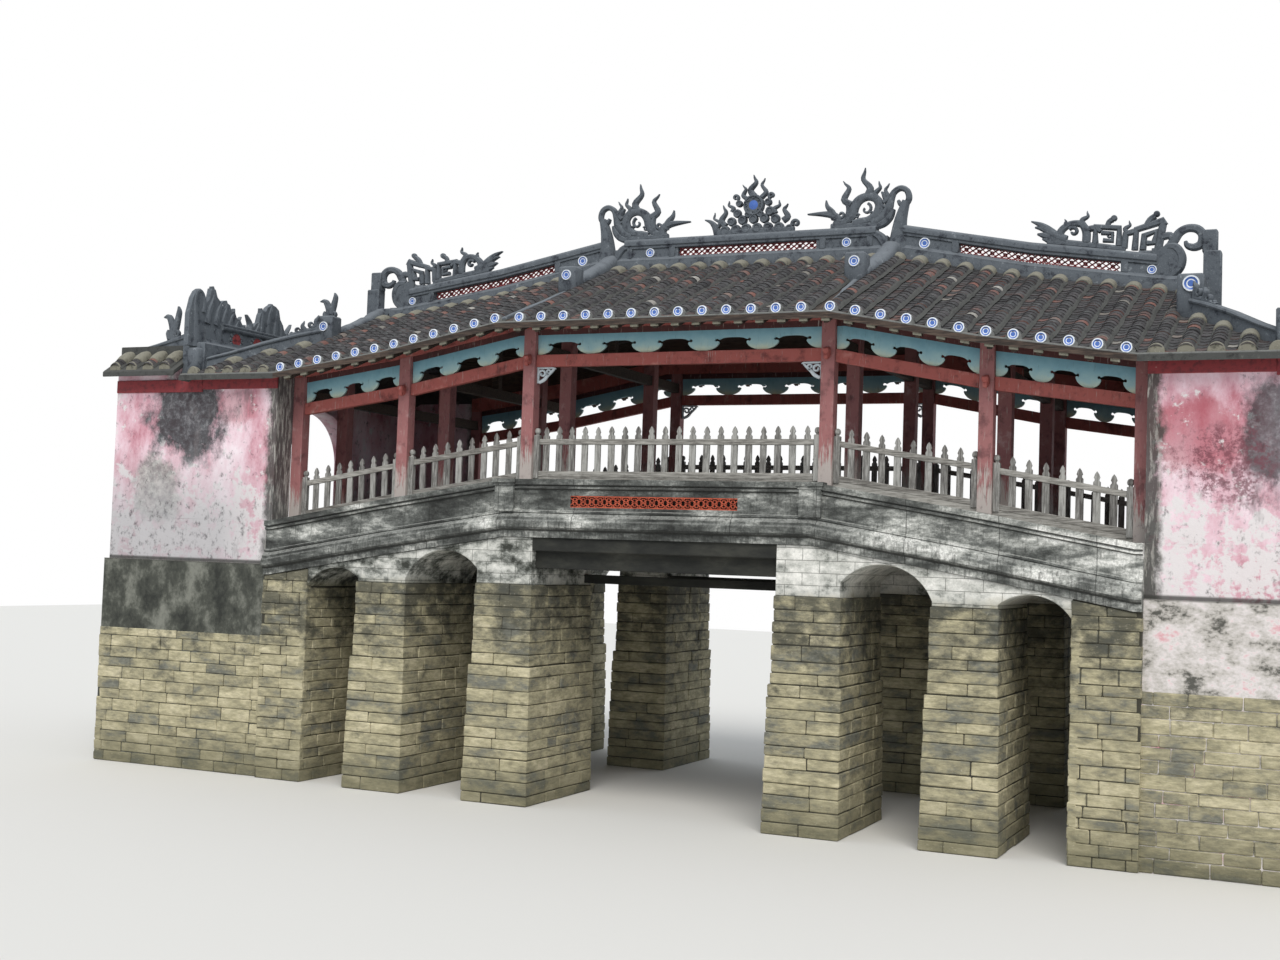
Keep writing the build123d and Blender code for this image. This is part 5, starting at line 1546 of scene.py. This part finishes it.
def gateCrests(shape, put):
    # The scroll pier at the end, the stepped crest, a leaf, the second crest and the upturned cap end
    for mass in crestMasses:
        addPlate(shape, mass, put, 0.05)
    addLines(shape, (
        smoothPath([
            (3.56, 7.3, 0.2), (3.58, 7.6, 0.18), (3.62, 7.86, 0.13), (3.66, 8.05, 0.075),
            (3.63, 8.22, 0.065), (3.54, 8.29, 0.06), (3.45, 8.22, 0.062), (3.42, 8.08, 0.075),
            (3.44, 7.92, 0.09),
        ], 5),
        smoothPath([
            (3.32, 7.74, 0.16), (3.26, 8.0, 0.12), (3.18, 8.2, 0.075), (3.17, 8.33, 0.05),
            (3.2, 8.42, 0.03),
        ], 5),
        smoothPath([(3.1, 7.74, 0.14), (3.04, 8.0, 0.1), (2.97, 8.14, 0.06), (2.9, 8.2, 0.03)], 4),
        smoothPath([(2.92, 7.74, 0.12), (2.86, 7.96, 0.09), (2.8, 8.12, 0.05), (2.82, 8.23, 0.02)], 4),
        smoothPath([(2.74, 7.74, 0.1), (2.68, 7.92, 0.075), (2.6, 8.04, 0.045), (2.58, 8.12, 0.02)], 4),
        smoothPath([(2.56, 7.74, 0.09), (2.5, 7.86, 0.06), (2.42, 7.95, 0.04), (2.38, 8.0, 0.016)], 4),
        smoothPath([(2.4, 7.74, 0.07), (2.32, 7.82, 0.05), (2.26, 7.86, 0.03)], 3),
        curl((3.02, 7.86), 0.06, 0, 1.0, 0.024), curl((2.78, 7.84), 0.055, 0, 1.0, 0.022),
        curl((2.56, 7.8), 0.045, 0, 1.0, 0.02),
        smoothPath([(2.12, 7.76, 0.075), (2.1, 7.9, 0.06), (2.16, 8.0, 0.04), (2.22, 8.07, 0.01)], 4),
        smoothPath([(1.98, 7.76, 0.09), (1.9, 7.9, 0.07), (1.88, 7.98, 0.04)], 3),
        smoothPath([(1.82, 7.76, 0.12), (1.8, 8.0, 0.09), (1.8, 8.14, 0.06), (1.82, 8.25, 0.03)], 4),
        smoothPath([(1.62, 7.76, 0.16), (1.6, 8.06, 0.12), (1.56, 8.24, 0.085), (1.52, 8.37, 0.04)], 4),
        smoothPath([(1.42, 7.76, 0.14), (1.4, 8.04, 0.1), (1.38, 8.2, 0.07), (1.4, 8.32, 0.03)], 4),
        smoothPath([(1.22, 7.76, 0.1), (1.24, 7.94, 0.075), (1.26, 8.06, 0.03)], 4),
        curl((1.7, 7.92), 0.06, 0, 1.0, 0.024), curl((1.46, 7.94), 0.055, 180, -1.0, 0.022),
        smoothPath([(1.1, 7.76, 0.06), (1.02, 7.9, 0.05), (0.95, 8.0, 0.035), (0.9, 8.08, 0.01)], 4),
        smoothPath([(1.3, 7.78, 0.04), (1.0, 7.76, 0.04), (0.8, 7.78, 0.035), (0.68, 7.84, 0.015)], 4),
    ), 0.17, put, 0.62)
    for a, b in crestCurls:
        radius, start = random.uniform(0.045, 0.065), random.uniform(0, 360)
        addRibbon(shape, curl((a, b), radius, start, random.choice((-1.1, 1.1)), 0.02), 0.16, put)


def buildGateRidges():
    for sx, endName in ((1, "right"), (-1, "left")):
        shape = Shape()
        for side in (-1, 1):
            def put(a, b, d):
                return Vector((sx * gateLook["x"] + d, side * a, b))

            addRun(shape, fullProfile(gateBase), put, 0.0, 3.42)
            addRun(shape, fullProfile(gateWallHalf), put, 0.0, 3.4)
            addRun(shape, fullProfile(gateCap), put, 0.0, 2.96)
            gateCrests(shape, put)
            for a in gateLook["medallions"]:
                for face in (-1, 1):
                    def onFace(p, q, d):
                        return put(a + p, gateLook["level"] + q, face * gateLook["face"] + d)

                    rim = gateLook["rim"]
                    for k in range(12):
                        turn = 2 * math.pi * k / 12
                        bead = (rim * math.cos(turn), rim * math.sin(turn))
                        addDisc(shape, bead, gateLook["bead"], 0.04, onFace, bossRings, 8)
                    flat = ((1.0, 1.0), (0.0, 1.0))
                    addDisc(shape, (0, 0), gateLook["medallion"], 0.02, onFace, flat, 14, 3)
                    for turn in (0, 60, 120):
                        c = math.cos(math.radians(turn)) * gateLook["bar"]
                        s = math.sin(math.radians(turn)) * gateLook["bar"]
                        addRibbon(shape, [(-c, -s, 0.01), (c, s, 0.01)], 0.05, onFace, 4, 3)
            # dark mortar over the head of the gateway wall where it stands out of the roof
            y0, y1 = sorted((side * 0.001, side * gateLook["headEnd"]))
            x0, x1 = sorted(sx * x for x in gateLook["headX"])
            low, high = gateLook["headLevels"]
            addBlock(shape, boxCorners((x0, y0, low), (x1, y1, high)), 0.02)
        makePiece(
            f"gate_crests_{endName}", shape, ridgeFinishes, (f"gate_ridge_{endName}",), 45,
        )


buildGateRidges()

# Wing copings: short rows of tiles on both slopes, a rolled top and a leaf horn

copingLook = {
    "crown": 3.3275, "crownZ": 7.2, "eaveY": 3.765, "eaveZ": 6.9, "rows": (9.36, 9.73, 10.1, 10.47),
    "start": 9.16, "end": 10.68, "topHalf": 0.085, "topHigh": 0.1, "rise": 0.34, "sunk": 0.02, "hornX": 9.6,
    "hornZ": 7.5,
}


def buildCopings():
    for sx, endName in ((1, "right"), (-1, "left")):
        tilesShape, top = Shape(), Shape()
        topZ = copingLook["crownZ"] - copingLook["sunk"]
        for side in (-1, 1):
            for x in copingLook["rows"]:
                crown = Vector((sx * x, side * (copingLook["crown"] + 0.04), topZ))
                for reach in (1, -1):
                    y = copingLook["crown"] + reach * (copingLook["eaveY"] - copingLook["crown"])
                    foot = Vector((sx * x, side * y, copingLook["eaveZ"]))
                    layRoll(tilesShape, foot, crown, acrossX)
                    outward = Vector((0, side * reach, 0))
                    layEaveEnd(tilesShape, foot + outward * 0.022 - Vector((0, 0, 0.02)), outward, 2)
            stations = []
            for i in range(9):
                t = i / 8
                x = sx * (copingLook["start"] + (copingLook["end"] - copingLook["start"]) * t)
                high = copingLook["topHigh"] + copingLook["rise"] * (1 - t) ** 1.5
                place = Vector((x, side * copingLook["crown"], topZ))
                stations.append((place, Vector((0, 1, 0)), copingLook["topHalf"], high))
            addSweep(top, stations, hipSection)

            def put(a, b, d):
                z = copingLook["hornZ"] + b * 1.25
                return Vector((sx * (copingLook["hornX"] - a), side * copingLook["crown"] + d, z))

            hornLeaves(top, put)
        makePiece(f"coping_tiles_{endName}", tilesShape, tileFinishes, smoothAngle=50)
        makePiece(f"coping_tops_{endName}", top, [ridgeMortar], smoothAngle=45)


buildCopings()
print("gate ridges, bands and copings built")

# Fences

fenceLook = {
    "pitch": 0.23, "picket": 0.1, "thick": 0.03, "tip": 0.877, "rail": 0.088, "railThick": 0.058,
    "topRail": 0.68, "bottomGap": 0.08, "post": 0.095, "sillHalf": 0.022,
    # picket head: share of half the width, and how far under the tip
    "head": ((1.0, 0.15), (0.62, 0.128), (0.62, 0.105), (0.86, 0.088), (0.5, 0.035)),
}


def slopingBlock(shape, xa, xb, ya, yb, low, high, edge, finish=0):
    # A block that follows the deck; low and high are measured from it
    addBlock(shape, cornersOn((xa, xb), (ya, yb), deckAt, (low, high)), edge, finish)


def addKnobPost(shape, x, y, level, half):
    # Square shaft, thin neck and turned knob
    addBlock(
        shape, boxCorners((x - half, y - half, level + 0.05), (x + half, y + half, level + 0.745)), 0.008,
    )
    profile = [
        (0.03, 0.74), (0.028, 0.765), (0.044, 0.778), (0.05, 0.8), (0.046, 0.83), (0.03, 0.852),
        (0.004, 0.86),
    ]
    sides = 10
    points = [
        (x + r * math.cos(2 * math.pi * k / sides), y + r * math.sin(2 * math.pi * k / sides), level + z)
        for r, z in profile for k in range(sides)
    ]
    shape.add(points, tubeFaces(len(profile), sides))


def buildFence(name, start, end, side):
    look = fenceLook
    shape = Shape()
    y = side * bridge["rowOuter"]

    def onFence(a, b, d):
        return Vector((a, y + d, b))

    xa, xb = start + bridge["columnSize"] / 2 + 0.001, end - bridge["columnSize"] / 2 - 0.001
    thick = look["railThick"] / 2
    for low in (look["bottomGap"], look["topRail"] - look["rail"]):
        slopingBlock(shape, xa, xb, y - thick, y + thick, low, low + look["rail"], 0.006, 1)
    # sill board between the bottom rail and the ledge
    thin = look["sillHalf"]
    slopingBlock(shape, xa, xb, y - thin, y + thin, -0.01, look["bottomGap"] + 0.01, 0.004, 1)
    count = int((xb - xa - 0.18) / look["pitch"])
    first = (xa + xb) / 2 - look["pitch"] * (count - 1) / 2
    for i in range(count):
        x = first + look["pitch"] * i + random.uniform(-0.004, 0.004)
        lean = random.uniform(-0.004, 0.004)
        half = look["picket"] / 2 + random.uniform(-0.003, 0.003)
        level = deckAt(x) + random.uniform(-0.006, 0.006)
        tip = level + look["tip"]
        foot = deckAt(x) + look["bottomGap"] + 0.03
        outline = [(x - half, foot), (x + half, foot)]
        outline += [(x + half * share + lean, tip - drop) for share, drop in look["head"]]
        outline.append((x + lean, tip))
        outline += [(x - half * share + lean, tip - drop) for share, drop in reversed(look["head"])]
        addPlate(shape, outline, onFence, look["thick"] / 2)
    for x in (xa + look["post"] / 2, xb - look["post"] / 2):
        addKnobPost(shape, x, y, deckAt(x), look["post"] / 2)
    makePiece(f"pickets_{name}", shape, [greyWood, railWood], (f"fence_{name}",), 35)


first, second, third = bridge["columnLines"]
bays = (
    ("outer_left", -third, -second), ("inner_left", -second, -first), ("center", -first, first),
    ("inner_right", first, second), ("outer_right", second, third),
)
for bayName, start, end in bays:
    for side, sideName in ((-1, "front"), (1, "rear")):
        buildFence(f"{sideName}_{bayName}", start, end, side)
print("fences built")

# Carved boards over the lintels

# half: one half of an opening between hanging lobes, as shares of the pitch and of the height
friezeLook = {
    "height": 0.205, "thick": 0.02, "top": 7.395, "plate": 7.49, "counts": {"center": 5, "side": 3},
    "half": (
        (0.49, 0.0), (0.43, 0.025), (0.37, 0.085), (0.315, 0.19), (0.272, 0.33), (0.245, 0.47),
        (0.232, 0.6), (0.24, 0.69), (0.262, 0.71), (0.285, 0.68), (0.305, 0.72), (0.308, 0.82),
        (0.292, 0.9), (0.265, 0.91), (0.25, 0.86), (0.236, 0.82), (0.215, 0.86), (0.17, 0.95),
        (0.1, 0.99), (0.0, 1.0),
    ),
}


def buildFriezes():
    shape = Shape()
    for bayName, start, end in bays:
        xa, xb = start + bridge["columnSize"] / 2 + 0.001, end - bridge["columnSize"] / 2 - 0.001
        count = friezeLook["counts"]["center" if bayName == "center" else "side"]
        pitch = (xb - xa) / count
        lower = []
        for i in range(count):
            middle = xa + pitch * (i + 0.5)
            left = [(middle - share * pitch, rise) for share, rise in friezeLook["half"]]
            right = [(middle + share * pitch, rise) for share, rise in reversed(friezeLook["half"][:-1])]
            lower += left + right
        outline = [(x, lintelTopAt(x) + rise * friezeLook["height"]) for x, rise in lower]
        ends = [xb, xa]
        if start < bridge["roofTurn"] < end:
            ends = [xb, bridge["roofTurn"], xa]
        if start < -bridge["roofTurn"] < end:
            ends = [xb, -bridge["roofTurn"], xa]
        outline += [(x, friezeLook["top"] + eaveFallAt(x)) for x in ends]
        rail = [(x, friezeLook["top"] + eaveFallAt(x)) for x in reversed(ends)]
        rail += [(x, friezeLook["plate"] + eaveFallAt(x)) for x in ends]
        for side in (-1, 1):
            def onRow(a, b, d):
                return Vector((a, side * bridge["rowOuter"] + d, b))

            addPlate(shape, outline, onRow, friezeLook["thick"])
            addPlate(shape, rail, onRow, friezeLook["thick"] * 1.6, 1)
    makePiece("carved_boards", shape, [tealPaint, shadedRailPaint], ("friezes",), 30)


buildFriezes()

# Brackets, beam noses, stringcourses and grille ribs

bracketLook = {"depth": 0.05, "longer": 1.22, "taller": 1.08}
stringLook = {
    "y": (3.53, 3.578), "gateEnd": 8.68, "wingEnd": 10.6, "wingLevel": 6.55, "levels": (-0.05, 0.17),
}
grilleLook = {
    "half": 1.37, "low": 4.61, "high": 4.79, "count": 19, "y": 3.675, "deep": 0.03, "recess": (3.59, 3.6),
}


def buildBrackets():
    shape = Shape()
    for sy in (-1, 1):
        for s in (-1, 1):
            x = bridge["columnLines"][0] - bridge["columnSize"] / 2
            corner = Vector((s * x, sy * bridge["rowOuter"], bridge["lintelBottom"]))

            def put(a, b, d):
                return corner + Vector((-s * a * bracketLook["longer"], d, b * bracketLook["taller"]))

            for line in (
                smoothPath([
                    (0.0, -0.012, 0.014), (0.13, -0.014, 0.016), (0.24, -0.016, 0.014),
                    (0.27, -0.03, 0.008),
                ], 4),
                smoothPath([(0.014, -0.24, 0.014), (0.014, -0.12, 0.016), (0.012, 0.0, 0.014)], 4),
                curl((0.075, -0.1), 0.062, 200, -1.15, 0.02),
                curl((0.16, -0.07), 0.048, 250, 1.0, 0.017),
                smoothPath([
                    (0.03, -0.23, 0.024), (0.1, -0.19, 0.026), (0.15, -0.13, 0.022), (0.22, -0.06, 0.018),
                    (0.25, -0.02, 0.012),
                ], 5),
            ):
                addRibbon(shape, line, bracketLook["depth"], put, 8)
    makePiece("scroll_brackets", shape, [scrollPaint])


def buildNoses():
    # Carved ends of the cross timbers, on the outer face of each column
    shape = Shape()
    for x in (s * line for line in bridge["columnLines"][:2] for s in (-1, 1)):
        for sy in (-1, 1):
            face = sy * (bridge["rowOuter"] + bridge["columnSize"] / 2)
            top = lintelTopAt(x) + 0.02

            def put(a, b, d):
                return Vector((x + d, face + sy * a, top + b))

            nose = smoothPath(
                [(-0.01, -0.1, 0.09), (0.05, -0.1, 0.08), (0.1, -0.08, 0.05), (0.13, -0.05, 0.02)], 4,
            )
            addRibbon(shape, nose, 0.1, put)
            addRibbon(shape, curl((0.07, -0.17), 0.045, 90, -1.0, 0.02), 0.085, put)
    makePiece("beam_noses", shape, [redPaint])


def buildStringcourses():
    shape = Shape()
    for s in (-1, 1):
        for sy in (-1, 1):
            ya, yb = sorted(sy * y for y in stringLook["y"])
            low = roofTopAt(7.0, 3.55) - bridge["roofThickness"] - 0.2
            gateEnd = stringLook["gateEnd"]
            for start, end, level in ((bridge["gateFace"], gateEnd, low),
                                      (gateEnd, stringLook["wingEnd"], stringLook["wingLevel"])):
                xa, xb = sorted((s * start, s * end))
                za, zb = (level + z for z in stringLook["levels"])
                addBlock(shape, boxCorners((xa, ya, za), (xb, yb, zb)), 0.008)
    makePiece("stringcourses", shape, [stringRed])


def buildGrilleRibs():
    # Interlocked hexagons of moulded clay over the openings of the base
    shape = Shape()
    low, high, deep = grilleLook["low"], grilleLook["high"], grilleLook["deep"]
    xa, xb = -grilleLook["half"], grilleLook["half"]
    count = grilleLook["count"]
    step = (xb - xa) / count
    level = (low + high) / 2
    for sy in (-1, 1):
        def put(a, b, d):
            return Vector((a, sy * grilleLook["y"] + d, b))

        for i in range(count):
            mid = xa + step * (i + 0.5)
            for za, zb in ((low + 0.01, high - 0.01), (high - 0.01, low + 0.01)):
                addRibbon(
                    shape, [(mid - step * 0.75, za, 0.009), (mid + step * 0.75, zb, 0.009)], deep, put, 4,
                )
            addRibbon(shape, hexagon(mid, level, 0.04, 0.062, 0.008), deep, put, 4)
        for edge in (low + 0.008, high - 0.008):
            addRibbon(shape, [(xa, edge, 0.01), (xb, edge, 0.01)], 0.034, put, 4)
    makePiece("grille_ribs", shape, [grilleOrange], ("base_grilles",))
    # a thin dark sheet at the back of the recess: painted shade standing for the dark openings behind the
    # grille
    back = Shape()
    for sy in (-1, 1):
        ya, yb = sorted(sy * y for y in grilleLook["recess"])
        addBlock(back, boxCorners((xa - 0.01, ya, low - 0.01), (xb + 0.01, yb, high + 0.01)), 0.001)
    makePiece("grille_shade_sheet", back, [darkWoodAndShade])


buildBrackets()
buildNoses()
buildStringcourses()
buildGrilleRibs()
print("small pieces built")

# Stage, light and camera

stageLook = {
    "floor": 60.0, "floorLevel": -0.002, "floorColour": "d9d7d2", "skyColour": "e8eef5",
    "skyStrength": 0.85, "sunEnergy": 2.1, "sunSpread": 35, "sunColour": (1.0, 0.975, 0.94),
    "sunFrom": (0.35, -0.75, 0.9),
}
cameraLook = {
    "place": (9.658, -25.376, 3.85), "yaw": 24.463, "pitch": 2.871, "roll": 1.959,
    "focalPixels": 1583.04, "imageWidth": 1280, "sensor": 36.0, "clipEnd": 300,
}


def buildStage():
    half, level = stageLook["floor"], stageLook["floorLevel"]
    mesh = bpy.data.meshes.new("floor")
    corners = [(x * half, y * half, level) for x, y in ((-1, -1), (1, -1), (1, 1), (-1, 1))]
    mesh.from_pydata(corners, [], [(0, 1, 2, 3)])
    floor = bpy.data.objects.new("floor", mesh)
    bpy.context.scene.collection.objects.link(floor)
    finish, add, _ = newFinish("floorPaper")
    mesh.materials.append(finishOff(finish, add, 0.95, stageLook["floorColour"]))
    world = bpy.data.worlds.new("softDaylight")
    bpy.context.scene.world = world
    world.use_nodes = True
    world.node_tree.nodes.clear()
    add = nodeAdder(world.node_tree)
    # the sky lights the bridge softly; seen directly it is plain white
    soft = add("Background", stageLook["skyColour"], stageLook["skyStrength"])
    seen = add("Background", "ffffff", 1.0)
    path = add("LightPath").outputs
    direct = add("Math", path["Is Camera Ray"], path["Is Transmission Ray"], operation="MAXIMUM")
    add("OutputWorld", add("MixShader", direct, soft, seen))
    sun = bpy.data.lights.new("softSun", "SUN")
    sun.energy = stageLook["sunEnergy"]
    sun.angle = math.radians(stageLook["sunSpread"])
    sun.color = stageLook["sunColour"]
    lamp = bpy.data.objects.new("softSun", sun)
    lamp.rotation_euler = Vector(stageLook["sunFrom"]).to_track_quat("Z", "Y").to_euler()
    bpy.context.scene.collection.objects.link(lamp)


def buildCamera():
    # Seen from the water, to the right of the middle, a little tilted as in the photograph
    yaw, pitch, roll = (math.radians(cameraLook[turn]) for turn in ("yaw", "pitch", "roll"))
    ahead = Vector((-math.sin(yaw) * math.cos(pitch), math.cos(yaw) * math.cos(pitch), math.sin(pitch)))
    level = Vector((math.cos(yaw), math.sin(yaw), 0))
    upright = level.cross(ahead)
    right = math.cos(roll) * level + math.sin(roll) * upright
    top = -math.sin(roll) * level + math.cos(roll) * upright
    data = bpy.data.cameras.new("camera")
    data.sensor_width = cameraLook["sensor"]
    data.lens = cameraLook["focalPixels"] / cameraLook["imageWidth"] * cameraLook["sensor"]
    data.clip_end = cameraLook["clipEnd"]
    camera = bpy.data.objects.new("camera", data)
    turn = Matrix((right, top, -ahead)).transposed().to_4x4()
    camera.matrix_world = Matrix.Translation(cameraLook["place"]) @ turn
    bpy.context.scene.collection.objects.link(camera)
    bpy.context.scene.camera = camera


buildStage()
buildCamera()
bpy.context.scene.view_settings.view_transform = "Standard"
print("stage, light and camera ready")
